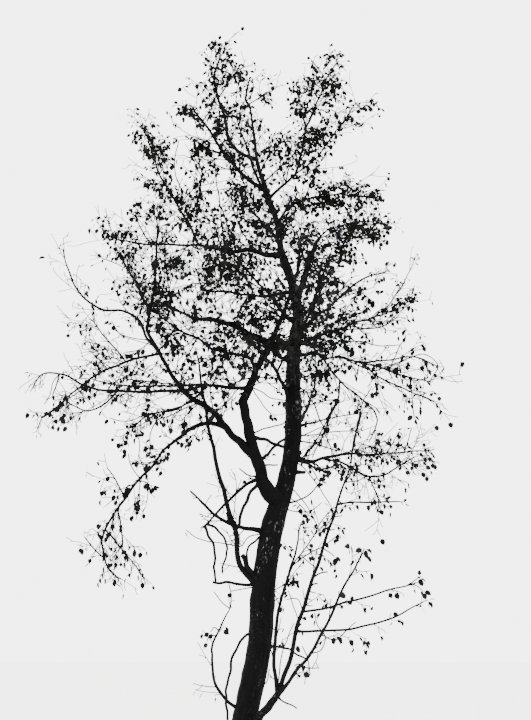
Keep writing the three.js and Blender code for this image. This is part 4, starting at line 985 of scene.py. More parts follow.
def dress(growth, habit, path, length, foot, forks, roll, tone):
    """Side twigs and leaves along a twig. The forks count down to the finest twigs, which have none."""
    if forks > 0:
        count = int(length * (1 - SIDE_START) / habit.spacing + roll())
        for j in range(count):
            share = SIDE_START + (SIDE_END - SIDE_START) * (j + roll()) / count
            place, along = on_path(path, share)
            turn = math.radians(GOLDEN_TURN) * j + SIDE_TURN * roll()
            way = heading_off(along, roll.of(SIDE_TWIG_SPLAY), turn, SIDE_LIFT * habit.lift)
            reach = max(length * roll.of(SIDE_REACH) * (1 - SIDE_LOSS * share), SHORTEST_SIDE)
            grow_twig(growth, habit, place, way, reach, SIDE_FOOT * foot, forks - 1, roll, tone)
    if roll() < LEAFY_SHARE:
        usual = habit.lush * habit.sizes.leaves_per_metre * length / METRE
        leaves = int(usual * roll.of(LEAFINESS) / LEAFY_SHARE + roll())
        most = 1 + int(length / LEAF_ROOM)
        add_leaves(growth, path, min(leaves, most), roll, habit.droop, tone, TWIG_LEAVES_LOW)


def grow_twig(growth, habit, root, way, reach, foot, forks, roll, tone):
    """A twig with all that it bears, left out where it has no room."""
    curl = CURL * roll() ** CURL_RARITY if reach > CURLED_LENGTH else 0.0
    path = bowed(root, root + way * reach, roll, SIDE_BOW, SIDE_PIECE, curl)
    if not habit.fits(path[[len(path) // 2, -1]]):
        return
    finest = habit.sizes.twig_tip
    growth.twigs.append((path, tapered(path, max(foot, finest), finest)))
    dress(growth, habit, path, reach, foot, forks, roll, tone)


def grow_sprig(growth, habit, sprig, roll, tone):
    """A twig of the plain model's rule, carried on to side twigs, and to leaves where its spray is."""
    end = sprig.tip if sprig.bare else sprig.tip + sprig.way * INTO_SPRAY * sprig.blade
    path = bowed(sprig.base, end, roll)
    foot = min(sprig.foot, habit.sizes.twig_foot)
    growth.twigs.append((path, tapered(path, foot, habit.sizes.twig_tip)))
    dress(growth, habit, path, np.linalg.norm(end - sprig.base), foot, FORKS, roll, tone)
    if not sprig.bare:
        fullness = SPRAY_LUSH[0] + SPRAY_LUSH[1] * min(habit.lush, LUSHEST_SPRAY)
        count = round(habit.sizes.leaves_in_spray * roll.of(SPRAY_FILL) * fullness)
        add_leaves(growth, path, count, roll, habit.droop, tone, SPRAY_LEAVES_LOW)


def grow_along(growth, habit, stem, seed, spacing, reach, forks, low=ALONG_LOW, high=ALONG_HIGH,
               splay=ALONG_SPLAY):
    """Twigs that stand along a stem or limb, each as long as a throw of the dice says."""
    count = int(stem.length * (high - low) / spacing)
    for k in range(count):
        roll = Dice(seed + ALONG_SEED * (k + 1))
        share = low + (high - low) * (k + roll()) / count
        place = stem.line.point(share)
        thick = stem.radius(share)
        turn = math.radians(GOLDEN_TURN) * k + ALONG_TURN * roll()
        way = heading_off(stem.line.tangent(share), splay + ALONG_SPREAD * (roll() - 0.5), turn,
                          habit.lift)
        free = reach[0] + (reach[1] - reach[0]) * roll() ** SHORT_TWIGS
        out = thick + free * (1 - ALONG_LOSS * share)
        foot = min(habit.sizes.twig_foot, STEM_ROOM * thick)
        foot *= SLIM_FOOT + FULL_FOOT * min(out / FULL_LENGTH, 1)
        grow_twig(growth, habit, place, way, out, foot, forks, roll, int(TONES * roll()))


def stem_path(stem, sunk, seed, stout):
    """A stem's crooked line, from inside what it grows from to its tip, with its radii."""
    roll = Dice(seed + WAVE_SEED)
    count = max(STEM_FEWEST, int(stem.length / STEM_PIECE))
    path, radii = [], []
    if sunk:
        path.append(stem.line.point(0) - stem.line.tangent(0) * sunk)
        radii.append(stem.foot)
    phases = [roll.turn() for _ in range(4)]
    foot = stout * max(STEM_STOUT * stem.foot, STEM_LEAST + STEM_GAIN * stem.length)
    for i in range(count + 1):
        share = i / count
        run = share * stem.length
        loose = min(1.0, run / STEM_SETTLE, (stem.length - run) / STEM_CALM + STEM_LAST)
        path.append(stem.line.strayed(share, run, phases, STEM_WAVES, STEM_SWAY, loose))
        out = max(run - stem.parent_radius, 0)
        collar = 0 if sunk else STEM_COLLAR * stem.foot * math.exp(-out / (COLLAR_REACH * stem.foot))
        radii.append(STEM_END + (foot - STEM_END) * (1 - share) ** STEM_TAPER + collar)
    radii[-1] *= STEM_BLUNT
    return np.array(path), np.array(radii)


def crooked_path(parent, row, seed, crook, extra):
    """A piece of dead wood or a thin shoot, from inside its parent to its blunt end, with its radii."""
    roll = Dice(seed)
    at, length, foot, tip = (row[name] for name in ("at", "length", "foot", "tip"))
    line = MiddleLine(parent.line.point(at), row)
    count = max(SHOOT_FEWEST, int(length / SHOOT_PIECE))
    phases = [roll.turn() for _ in range(4)]
    path, radii = [], []
    for i in range(count + 1):
        share = i / count
        run = share * length
        loose = crook * min(1.0, run / SHOOT_SETTLE)
        path.append(line.strayed(share, run, phases, SHOOT_WAVES, SHOOT_SWAY, loose))
        out = max(run - parent.radius(at), 0)
        collar = SHOOT_COLLAR * math.exp(-out / (COLLAR_REACH * foot))
        radii.append(extra + SHOOT_STOUT * (foot * (1 + collar) + (tip - foot) * share))
    path.append(path[-1] + line.tangent(1) * SHOOT_ON * tip)
    radii.append(SHOOT_BLUNT * tip)
    return np.array(path), np.array(radii)


def bough_path(limb):
    """A bough's line with its radii, from inside its parent to its rounded tip."""
    count = max(BOUGH_FEWEST, int(limb.length / BOUGH_PIECE))
    path, radii = [], []
    roll = Dice(int(limb.length * BOUGH_SEED + limb.row["foot"]))
    phases = [roll.turn() for _ in range(4)]
    if limb.goes_on:
        path.append(limb.line.point(0) - limb.line.tangent(0) * BOUGH_SUNK)
        radii.append(limb.radius(0))
    for i in range(count + 1):
        share = i / count
        run = share * limb.length
        radius = limb.radius(share)
        grown = min(1.0, run / BOUGH_SETTLE)
        loose = BOUGH_LOOSE * radius * min(grown, (limb.length - run) / BOUGH_CALM)
        path.append(limb.line.strayed(share, run, phases, BOUGH_WAVES, BOUGH_SWAY, loose))
        radii.append(radius * (1 + BOUGH_LUMP * math.sin(run / LUMP_WAVE + phases[1]) * grown))
    tip, along, blunt = path[-1], limb.line.tangent(1), limb.radius(1)
    for out, share in ROUND_END:
        path.append(tip + along * out * blunt)
        radii.append(share * blunt)
    return np.array(path), np.array(radii)


def grow_mass(growth, mass, space, sizes):
    """A mass's stems with all their twigs, and its tuft where it ends in one."""
    row = mass.row
    leafier, richer, stout = DRESS[row["name"]]
    lively = min(1.0, LEAST_LIVELY + row["twigs"] / FULL_TWIGS) * richer
    lush = max(LEAST_LUSH, row["leaves"] - BARE_LEAVES) * leafier

    def fits(points):
        return space.fits(points, mass)

    habit = Habit(fits, lush, row["lift"], sizes, lively)
    whippy = Habit(fits, WHIP_LUSH * lush, row["lift"], sizes, WHIP_LIVELY)
    for n, stem in enumerate(mass.stems):
        seed = mass.seed + STEM_SEED * n
        sunk = 0 if n or "at" in row else STEM_SUNK * stem.foot
        growth.stems.append(stem_path(stem, sunk, seed, min(stout, STOUTEST_ARM) if n else stout))
        for k, sprig, side in sprigs_of(mass, stem, seed):
            if not fits(sprig.spots()):
                continue
            roll = Dice(seed + TWIG_SEED * k + SPRIG_SEED)
            tone = int(TONES * roll())
            grow_sprig(growth, habit, sprig, roll, tone)
            for small in side:
                if fits(small.spots()):
                    grow_sprig(growth, habit, small, roll, tone)
        reach, spacing = row["reach"], sizes.spur_spacing / MM / lively
        grow_along(growth, habit, stem, seed, spacing, (SHORTEST_SPUR, SPUR_REACH * reach), 0)
        for kind, (more, apart, least, most, forks, splay) in ((habit, SIDE_TWIGS), (whippy, WHIPS)):
            span = (least * reach, most * reach)
            grow_along(growth, kind, stem, seed + more, apart / lively, span, forks, splay=splay)
    if row["name"] in TUFTS:
        spurs, low, reach = TUFTS[row["name"]]
        leafy = Habit(fits, TUFT_LUSH, row["lift"], sizes)
        for n, stem in enumerate(mass.stems):
            spacing = stem.length * (1 - low) / (ARM_TUFT * spurs if n else spurs)
            span = (SHORTEST_TUFT, reach)
            grow_along(growth, leafy, stem, mass.seed + TUFT_SEED + n, spacing, span, 0, low, 1.0,
                       TUFT_SPLAY)


def grow_long_shoot(growth, parent, row, seed, space, sizes):
    """A long shoot with the leaves at its end. One with more than a few leaves branches too."""
    path, radii = crooked_path(parent, row, LONG_SHOOT_SEED + seed, SHOOT_CROOK, SHOOT_EXTRA)
    growth.stems.append((path, radii))
    leaves, roll, tone = row.get("leaves", 0), Dice(SHOOT_LEAF_SEED + seed), seed % TONES
    many = leaves > FEW_LEAVES
    add_leaves(growth, path, leaves, roll, SHOOT_DROOP, tone, MANY_LOW if many else FEW_LOW)
    if many:
        habit = Habit(space.clear_of_limbs, leaves / LEAVES_FOR_LUSH, SHOOT_LIFT, sizes)
        dress(growth, habit, path, row["length"], row["foot"], 1, roll, tone)


def grow_crown(limbs, sizes):
    """Every part of the crown by name."""
    masses = lay_out_masses(limbs)
    space = Space(limbs, masses)
    part_of = {name: part for part, names in CROWN.items() for name in names}
    crown = {part: Growth() for part in CROWN}
    for mass in masses:
        grow_mass(crown[part_of[mass.row["name"]]], mass, space, sizes)
    for index, row in enumerate(SHOOTS):
        habit = Habit(space.clear_of_limbs, row["leaves"], row.get("lift", SHOOTS_LIFT), sizes)
        grow_along(crown[row["part"]], habit, limbs[row["on"]], SHOOTS_SEED * (index + 1),
                   METRE / row["per_metre"], (SHORTEST_SPUR, row["reach"]), SHOOTS_FORKS, row["low"],
                   row["high"], SHOOTS_SPLAY)
    parents = {**limbs, **stems_by_name(masses)}
    for seed, row in enumerate(LONG_SHOOTS):
        grow_long_shoot(crown[row["part"]], parents[row["on"]], row, seed, space, sizes)
    return crown


def stems_by_name(masses):
    """Every stem and arm: a mass's stem has the mass's name, its arms the name with _2, _3 and so on."""
    return {mass.row["name"] + ("_%d" % (n + 1) if n else ""): stem
            for mass in masses for n, stem in enumerate(mass.stems)}


# Node trees and finishes

def linear(hex_colour):
    """An sRGB hex colour as linear red, green and blue."""
    channels = [int(hex_colour[i:i + 2], 16) / 255 for i in (1, 3, 5)]
    return [c / 12.92 if c <= 0.04045 else ((c + 0.055) / 1.055) ** 2.4 for c in channels]


def add(tree, kind, settings=None, inputs=None, output=0):
    """Adds a node with its settings. An input is given a value, or another node's output to read. Gives
    the node's first output, or the one that is asked for, or with no output the node itself."""
    node = tree.nodes.new(kind)
    for name, value in (settings or {}).items():
        setattr(node, name, value)
    for name, value in (inputs or {}).items():
        if isinstance(value, bpy.types.NodeSocket):
            tree.links.new(value, node.inputs[name])
        else:
            node.inputs[name].default_value = value
    return node if output is None else node.outputs[output]


def maths(tree, operation, *values):
    """The result of one operation on numbers."""
    return add(tree, "ShaderNodeMath", {"operation": operation}, dict(enumerate(values)))


def vectors(tree, operation, *values):
    """The result of one operation on vectors."""
    return add(tree, "ShaderNodeVectorMath", {"operation": operation}, dict(enumerate(values)))


def new_finish(name, roughness):
    """A material with a plain opaque shader, its node tree and that shader."""
    material = bpy.data.materials.new(name)
    material.use_nodes = True
    shader = material.node_tree.nodes["Principled BSDF"]
    for label, value in (("Roughness", roughness), ("IOR", IOR), ("Metallic", 0.0),
                         ("Specular IOR Level", SHEEN)):
        shader.inputs[label].default_value = value
    return material, material.node_tree, shader


def set_surface(tree, shader, colour, height, strength, depth):
    """Gives a shader its colour, and a bump from a pattern over a depth in metres."""
    bump = add(tree, "ShaderNodeBump", inputs={"Strength": strength, "Distance": depth, "Height": height})
    tree.links.new(colour, shader.inputs["Base Color"])
    tree.links.new(bump, shader.inputs["Normal"])


def ramp(tree, factor, stops, colours):
    """A colour ramp over a factor, with a hex colour at each of two or more stops."""
    node = add(tree, "ShaderNodeValToRGB", inputs={"Fac": factor}, output=None)
    elements = node.color_ramp.elements
    while len(elements) < len(stops):
        elements.new(1.0)
    for element, stop, colour in zip(elements, stops, colours):
        element.position = stop
        element.color = [*linear(colour), 1.0]
    return node.outputs["Color"]


def pattern(tree, where, size, detail, roughness, shift=(0, 0, 0)):
    """Noise whose grains have this size in metres, read from a place on the piece."""
    scale = [1 / s for s in size]
    scaled = add(tree, "ShaderNodeMapping", inputs={"Vector": where, "Scale": scale, "Location": shift})
    settings = {"Scale": 1.0, "Detail": detail, "Roughness": roughness, "Vector": scaled}
    return add(tree, "ShaderNodeTexNoise", inputs=settings)


def eased(tree, value, low, high, least=0.0):
    """A value that rises from `least` to 1 as another goes from low to high."""
    return add(tree, "ShaderNodeMapRange",
               inputs={"Value": value, "From Min": low, "From Max": high, "To Min": least})


def bark_finish(name, shades, highlight_colour, ridge_width, ridge_length, highlight_cover, relief):
    """Bark: matt and near black, partly its own colour and partly painted shade, furrowed along the limb,
    darker in the furrows and paler on the ridges, with pale flecks that are painted highlights where light
    would catch it. Reads where a point would be on the limb if it were straight. The highlight cover is
    the noise above which a painted highlight speck shows and above which a patch has them, and where there
    are fewer low down, the two heights in metres between which they grow thick."""
    material, tree, shader = new_finish(name, BARK_ROUGH)
    where = add(tree, "ShaderNodeAttribute", {"attribute_name": "bark_place"}, output="Vector")
    furrows = pattern(tree, where, (ridge_width, ridge_width, ridge_length), *FURROWS)
    highlight_patches = pattern(tree, where, *PAINTED_HIGHLIGHT_PATCHES)
    highlight_specks = pattern(tree, where, *PAINTED_HIGHLIGHT_SPECKS)
    ground = ramp(tree, furrows, BARK_STOPS, shades)
    highlight_speck_level, highlight_patch_level, *heights = highlight_cover
    share = maths(tree, "MULTIPLY", eased(tree, highlight_specks, highlight_speck_level, highlight_speck_level + HIGHLIGHT_SPECK_EDGE),
                  eased(tree, highlight_patches, highlight_patch_level, highlight_patch_level + HIGHLIGHT_PATCH_EDGE))
    if heights:
        height = add(tree, "ShaderNodeSeparateXYZ", inputs={"Vector": where}, output="Z")
        share = maths(tree, "MULTIPLY", share, eased(tree, height, *heights, FEW_HIGHLIGHTS_LOW))
    inputs = {0: share, 6: ground, 7: [*linear(highlight_colour), 1.0]}  # the share of painted highlight, and the two colours: the bark and its painted highlight
    colour_with_highlights = add(tree, "ShaderNodeMix", {"data_type": "RGBA"}, inputs, 2)
    set_surface(tree, shader, colour_with_highlights, furrows, BARK_BUMP, relief)
    return material


def leaf_finish(name, shades):
    """A dead leaf: dry and matt, near black, partly its own dark colour and partly painted shade, with
    veins and blotches a few millimetres across.
    """
    material, tree, shader = new_finish(name, LEAF_ROUGH)
    where = add(tree, "ShaderNodeTexCoord", output="Object")
    blotches = pattern(tree, where, *LEAF_BLOTCHES)
    colour = ramp(tree, blotches, LEAF_STOPS, shades)
    set_surface(tree, shader, colour, blotches, LEAF_BUMP, LEAF_RELIEF)
    return material


def plaster_finish(name, shades):
    """A painted studio floor: matt, with a faint mottle."""
    material, tree, shader = new_finish(name, FLOOR_ROUGH)
    where = add(tree, "ShaderNodeTexCoord", output="Object")
    mottle = pattern(tree, where, *FLOOR_MOTTLE)
    tree.links.new(ramp(tree, mottle, FLOOR_STOPS, shades), shader.inputs["Base Color"])
    return material


def node_group(name, sockets, result):
    """An empty geometry node tree with these named inputs, and the node that gives them."""
    tree = bpy.data.node_groups.new(name, "GeometryNodeTree")
    for label, kind in sockets.items():
        tree.interface.new_socket(label, in_out="INPUT", socket_type="NodeSocket" + kind)
    tree.interface.new_socket(result, in_out="OUTPUT", socket_type="NodeSocketGeometry")
    return tree, add(tree, "NodeGroupInput", output=None).outputs


def named(tree, name, kind="FLOAT"):
    """The value of a named attribute."""
    return add(tree, "GeometryNodeInputNamedAttribute", {"data_type": kind}, {"Name": name}, "Attribute")


def stored(tree, geometry, name, kind, value):
    """The geometry with a value stored on its points."""
    return add(tree, "GeometryNodeStoreNamedAttribute", {"data_type": kind, "domain": "POINT"},
               {"Geometry": geometry, "Name": name, "Value": value})


def limb_skin_tree():
    """Skins thin lines: a tube of the line's own thickness, ridged along its length."""
    tree, given = node_group("Limb skin", {
        "Lines": "Geometry", "Sides": "Int", "Ridge Height": "Float", "Ridge Width": "Float",
        "Ridge Length": "Float", "Seed": "Int", "Finish": "Material"}, "Skin")
    curves = add(tree, "GeometryNodeMeshToCurve", inputs={"Mesh": given["Lines"]})
    ring = add(tree, "GeometryNodeCurvePrimitiveCircle",
               inputs={"Resolution": given["Sides"], "Radius": 1.0})
    ring = stored(tree, ring, "around", "FLOAT", add(tree, "GeometryNodeSplineParameter"))
    tube = add(tree, "GeometryNodeCurveToMesh", inputs={
        "Curve": curves, "Profile Curve": ring, "Scale": named(tree, "thickness"), "Fill Caps": True})
    thickness = named(tree, "thickness")
    angle = maths(tree, "MULTIPLY", named(tree, "around"), 2 * math.pi)
    place = add(tree, "ShaderNodeCombineXYZ", inputs={
        "X": maths(tree, "MULTIPLY", maths(tree, "COSINE", angle), thickness),
        "Y": maths(tree, "MULTIPLY", maths(tree, "SINE", angle), thickness),
        "Z": named(tree, "run")})
    tube = stored(tree, tube, "bark_place", "FLOAT_VECTOR", place)
    grain = add(tree, "ShaderNodeCombineXYZ", inputs={
        "X": given["Ridge Width"], "Y": given["Ridge Width"], "Z": given["Ridge Length"]})
    apart = maths(tree, "MULTIPLY", given["Seed"], RIDGES_APART)
    where = vectors(tree, "ADD", vectors(tree, "DIVIDE", place, grain), apart)
    ridges = add(tree, "ShaderNodeTexNoise", inputs={"Vector": where, **RIDGE_GRAIN})
    stout = maths(tree, "MINIMUM", maths(tree, "DIVIDE", thickness, FULL_RIDGES), 1.0)
    height = maths(tree, "MULTIPLY", maths(tree, "SUBTRACT", ridges, 0.5), 2.0)
    height = maths(tree, "MULTIPLY", maths(tree, "MULTIPLY", height, stout), given["Ridge Height"])
    offset = add(tree, "ShaderNodeVectorMath", {"operation": "SCALE"},
                 {0: add(tree, "GeometryNodeInputNormal"), "Scale": height})
    tube = add(tree, "GeometryNodeSetPosition", inputs={"Geometry": tube, "Offset": offset})
    smooth = add(tree, "GeometryNodeSetShadeSmooth", inputs={"Geometry": tube})
    whole = add(tree, "GeometryNodeRealizeInstances", inputs={"Geometry": smooth})
    done = add(tree, "GeometryNodeSetMaterial", inputs={"Geometry": whole, "Material": given["Finish"]})
    add(tree, "NodeGroupOutput", inputs={"Skin": done}, output=None)
    return tree


def leaf_tree():
    """Hangs a leaf on every point: one of the leaf shapes, turned, sized and coloured by the point."""
    tree, given = node_group("Leaves on points", {
        "Points": "Geometry", "Leaf Length": "Float", **dict.fromkeys(LEAF_SHAPES, "Object"),
        **dict.fromkeys(LEAF_TONES, "Material")}, "Leaves")
    turn = add(tree, "FunctionNodeAxesToRotation", {"primary_axis": "Y", "secondary_axis": "Z"}, {
        "Primary Axis": named(tree, "way", "FLOAT_VECTOR"),
        "Secondary Axis": named(tree, "face", "FLOAT_VECTOR")})
    size = maths(tree, "MULTIPLY", named(tree, "size"), given["Leaf Length"])

    def chosen(value, number):
        """Whether a point's whole number is this one."""
        return add(tree, "FunctionNodeCompare", {"data_type": "INT", "operation": "EQUAL"},
                   {2: value, 3: number})

    kind = named(tree, "kind", "INT")
    joined = add(tree, "GeometryNodeJoinGeometry", output=None)
    for number, label in reversed(list(enumerate(LEAF_SHAPES))):
        shape = add(tree, "GeometryNodeObjectInfo", inputs={"Object": given[label]}, output="Geometry")
        hung = add(tree, "GeometryNodeInstanceOnPoints", inputs={
            "Points": given["Points"], "Selection": chosen(kind, number), "Instance": shape,
            "Rotation": turn, "Scale": size})
        tree.links.new(hung, joined.inputs[0])
    whole = add(tree, "GeometryNodeRealizeInstances", inputs={"Geometry": joined.outputs[0]})
    tone = named(tree, "tone", "INT")
    for number, label in enumerate(LEAF_TONES):
        whole = add(tree, "GeometryNodeSetMaterial", inputs={
            "Geometry": whole, "Selection": chosen(tone, number), "Material": given[label]})
    add(tree, "NodeGroupOutput", inputs={"Leaves": whole}, output=None)
    return tree


# Pieces and their meshes

def placed(name, data):
    """An object of this name and data, in the scene."""
    thing = bpy.data.objects.new(name, data)
    bpy.context.scene.collection.objects.link(thing)
    return thing


def grown_mesh(name, rough, tree, inputs):
    """Runs a node tree on a mesh and keeps the result as an object with a plain mesh."""
    thing = placed(name, rough)
    modifier = thing.modifiers.new(tree.name, "NODES")
    modifier.node_group = tree
    for item in tree.interface.items_tree:
        if item.item_type == "SOCKET" and item.in_out == "INPUT" and item.name in inputs:
            modifier[item.identifier] = inputs[item.name]
    bpy.context.view_layer.update()
    graph = bpy.context.evaluated_depsgraph_get()
    mesh = bpy.data.meshes.new_from_object(thing.evaluated_get(graph), depsgraph=graph)
    thing.modifiers.remove(modifier)
    thing.data = mesh
    mesh.name = name
    for leftover in ("thickness", "run", "around", "way", "face", "size", "kind", "tone"):
        if leftover in mesh.attributes:
            mesh.attributes.remove(mesh.attributes[leftover])
    if not mesh.polygons:
        raise RuntimeError(f"{name} came out with no faces")
    return thing


def skin(sides, ridges, seed, finish):
    """The limb skin's inputs: the tube's sides, its ridges' height, width and length, and the rest."""
    height, width, length = ridges
    return {"Sides": sides, "Ridge Height": height, "Ridge Width": width, "Ridge Length": length,
            "Seed": seed, "Finish": finish}


def set_attribute(mesh, name, kind, values):
    """Stores one value for each point of a mesh."""
    attribute = mesh.attributes.new(name, kind, "POINT")
    field = "vector" if kind == "FLOAT_VECTOR" else "value"
    attribute.data.foreach_set(field, np.asarray(values).ravel())


def lines_mesh(name, paths):
    """Paths as a mesh of edges that carries their thickness and the run along each, in metres."""
    points = np.concatenate([path for path, _ in paths]) * MM
    thickness = np.concatenate([radii for _, radii in paths]) * MM
    edges, run, first = [], [], 0
    for path, _ in paths:
        steps = np.linalg.norm(np.diff(path, axis=0), axis=1) * MM
        run.append(np.concatenate([[0.0], np.cumsum(steps)]) + RUN_SHIFT * first * MM)
        edges += [(first + i, first + i + 1) for i in range(len(path) - 1)]
        first += len(path)
    mesh = bpy.data.meshes.new(name)
    mesh.from_pydata(points.tolist(), edges, [])
    set_attribute(mesh, "thickness", "FLOAT", thickness)
    set_attribute(mesh, "run", "FLOAT", np.concatenate(run))
    return mesh


def leaf_shape(name, half_widths, fold, droop):
    """A leaf one unit long on its stalk: a blade folded along its midrib, with how high its edges rise and
    how far its end bends down, in two faces for each stretch. Its edges lag behind its midrib."""
    stalk, thin = LEAF_STALK, STALK_WIDTH
    points = [(thin, 0, 0), (-0.5 * thin, 0, 0.9 * thin), (-0.5 * thin, 0, -0.9 * thin), (0, stalk, 0)]
    faces = [(0, 1, 3), (1, 2, 3), (2, 0, 3)]
    ribs, rights, lefts = [3], [3], [3]
    for i, half in enumerate(half_widths):
        share = (i + FIRST_RIB) / (len(half_widths) + MORE_STEPS)
        y, z = stalk + share, -droop * share * share
        for row, x in ((ribs, 0), (rights, half), (lefts, -half)):
            row.append(len(points))
            points.append((x, y - EDGES_LAG, z + fold * half) if x else (0, y, z))
    for row in (ribs, rights, lefts):
        row.append(len(points))
    points.append((0, stalk + 1, -droop))
    for sides in (rights, lefts):
        for i in range(len(ribs) - 1):
            corners = [ribs[i], sides[i], sides[i + 1], ribs[i + 1]]
            faces.append(tuple(dict.fromkeys(corners if sides is rights else reversed(corners))))
    mesh = bpy.data.meshes.new(name)
    mesh.from_pydata(points, [], faces)
    return placed(name, mesh)


def keep(thing, slot, *nodes):
    """A finished piece: it rides on the tree and stands for these plain pieces, which it hides. The slot
    is not used.
    """
    if nodes:
        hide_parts(*nodes)
    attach(thing, "root")


def trunk_mesh(limb, sizes, sides=66, rings=400):
    """The trunk's skin: flared and lobed at the ground, ridged along its length, closed at both ends. Its
    rings stand closer together near the ground and lie level there."""
    points, places, faces = [], [], []
    across = np.array([1.0, 0.0, 0.0])
    run, last = 0.0, None
    for i in range(rings + 1):
        share = (i / rings) ** RINGS_LOW
        middle = limb.line.point(share)
        level = math.exp(-middle[2] / LEVEL_HEIGHT)
        along = unit(UP * level + limb.line.tangent(share) * (1 - level))
        across = unit(across - along * np.dot(across, along))
        third = np.cross(along, across)
        run += 0.0 if last is None else np.linalg.norm(middle - last)
        last = middle
        bare = limb.radius(share)
        swell = FLARE * math.exp(-middle[2] / FLARE_HEIGHT)
        stout = min(bare / FULL_RELIEF, 1)
        for k in range(sides):
            angle = 2 * math.pi * k / sides
            radius = bare * (1 + swell * (LOBE_MIDDLE + LOBE_HEIGHT * math.cos(ROOT_LOBES * angle)))
            straight = Vector((math.cos(angle) * bare, math.sin(angle) * bare, run)) * MM
            grain = Vector((straight.x / sizes.ridge_width, straight.y / sizes.ridge_width,
                            straight.z / sizes.ridge_length))
            crease = CREASE * (0.5 - abs(noise.noise(grain * CREASE_WAVE)))
            ridge = noise.fractal(grain, *RIDGE_NOISE) + crease
            lump = noise.noise(Vector([way / size for way, size in zip(straight, LUMP_SIZE)]))
            radius += stout * (ridge * sizes.ridge_height / MM + LUMP_HEIGHT * lump)
            place = middle + (across * math.cos(angle) + third * math.sin(angle)) * radius
            if i == 0:
                place[2] = 0.0
            points.append(tuple(place * MM))
            places.append(tuple(straight))
    for i in range(rings):
        for k in range(sides):
            a, b = i * sides + k, i * sides + (k + 1) % sides
            faces.append((a, b, b + sides, a + sides))
    top = rings * sides
    faces.append(tuple(range(sides - 1, -1, -1)))
    faces.append(tuple(range(top, top + sides)))
    mesh = bpy.data.meshes.new("trunk_bark")
    mesh.from_pydata(points, [], faces)
    set_attribute(mesh, "bark_place", "FLOAT_VECTOR", places)
    mesh.shade_smooth()
    return mesh


# Settings

def hex_prop(name, description, default):
    """A colour that the user may change, kept as linear values."""
    return bpy.props.FloatVectorProperty(name=name, description=description, subtype="COLOR", size=3,
                                         min=0.0, max=1.0, default=linear(default))


class TreeSizes(bpy.types.PropertyGroup):
    """Sizes of the tree's bark, twigs and leaves."""

    ridge_height: bpy.props.FloatProperty(
        name="Ridge Height", description="How far the bark's ridges stand up", default=0.0055,
        min=0.0, unit="LENGTH")
    ridge_width: bpy.props.FloatProperty(
        name="Ridge Width", description="From one ridge of the bark to the next", default=0.026,
        min=0.005, unit="LENGTH")
    ridge_length: bpy.props.FloatProperty(
        name="Ridge Length", description="How long a ridge of the bark is", default=0.15,
        min=0.01, unit="LENGTH")
    twig_foot: bpy.props.FloatProperty(
        name="Twig Foot", description="Radius of a twig at its foot, in millimetres", default=7.2, min=0.5)
    twig_tip: bpy.props.FloatProperty(
        name="Twig Tip", description="Radius of a twig at its tip, in millimetres", default=4.4, min=0.3)
    side_spacing: bpy.props.FloatProperty(
        name="Side Twig Spacing", description="From one side twig to the next", default=0.058, min=0.01,
        unit="LENGTH")
    spur_spacing: bpy.props.FloatProperty(
        name="Spur Spacing", description="From one short shoot on a stem to the next", default=0.07,
        min=0.01, unit="LENGTH")
    leaf_length: bpy.props.FloatProperty(
        name="Leaf Length", description="Length of a leaf's blade", default=0.056, min=0.01,
        unit="LENGTH")
    leaves_in_spray: bpy.props.FloatProperty(
        name="Leaves in a Spray", description="Leaves at the end of a leafy twig", default=4.0,
        min=0.0)
    leaves_per_metre: bpy.props.FloatProperty(
        name="Leaves to a Metre", description="Leaves along a metre of twig, at a mass's usual fullness",
        default=13.0, min=0.0)


class TreeColours(bpy.types.PropertyGroup):
    """The colour of the light."""

    sky: hex_prop("Sky", "The pale light all round", "#f2f2f2")


class StageSizes(bpy.types.PropertyGroup):
    """Where the camera stands and how strong the light is."""

    camera_place: bpy.props.FloatVectorProperty(
        name="Camera Place", description="Where the camera stands", subtype="TRANSLATION", size=3,
        default=(0.36, -8.0, 1.6))
    camera_pitch: bpy.props.FloatProperty(
        name="Camera Pitch", description="How far the camera looks up", subtype="ANGLE",
        default=math.radians(20))
    camera_field: bpy.props.FloatProperty(
        name="Field of View", description="The view's angle from bottom to top", subtype="ANGLE",
        default=math.radians(50))
    floor_radius: bpy.props.FloatProperty(
        name="Floor Radius", description="How far the floor reaches", default=60.0, unit="LENGTH")
    sky_strength: bpy.props.FloatProperty(
        name="Sky Strength", description="Strength of the light all round", default=5.8, min=0.0)
    sun_strength: bpy.props.FloatProperty(
        name="Lamp Strength", description="Strength of the broad lamp overhead", default=2.0, min=0.0)


LIMBS = lay_out_limbs()
GROWN = {}


class TREE_OT_trunk_bark(bpy.types.Operator):
    """Clothe the trunk in ridged bark"""

    bl_idname = "tree.trunk_bark"
    bl_label = "Trunk Bark"

    def execute(self, context):
        sizes = context.scene.tree_sizes
        mesh = trunk_mesh(LIMBS["trunk"], sizes)
        # Near-black shades, partly the bark's own and partly painted shade, and pale flecks that are
        # painted highlights, fewer below 1.4 m.
        mesh.materials.append(bark_finish("Weathered trunk bark", BARK_IN_PAINTED_SHADE, "#5c5c5c", sizes.ridge_width,
                                          sizes.ridge_length, highlight_cover=(0.6, 0.5, 1.4, 2.6), relief=0.004))
        keep(placed("trunk_bark", mesh), "bark", "trunk")
        return {"FINISHED"}


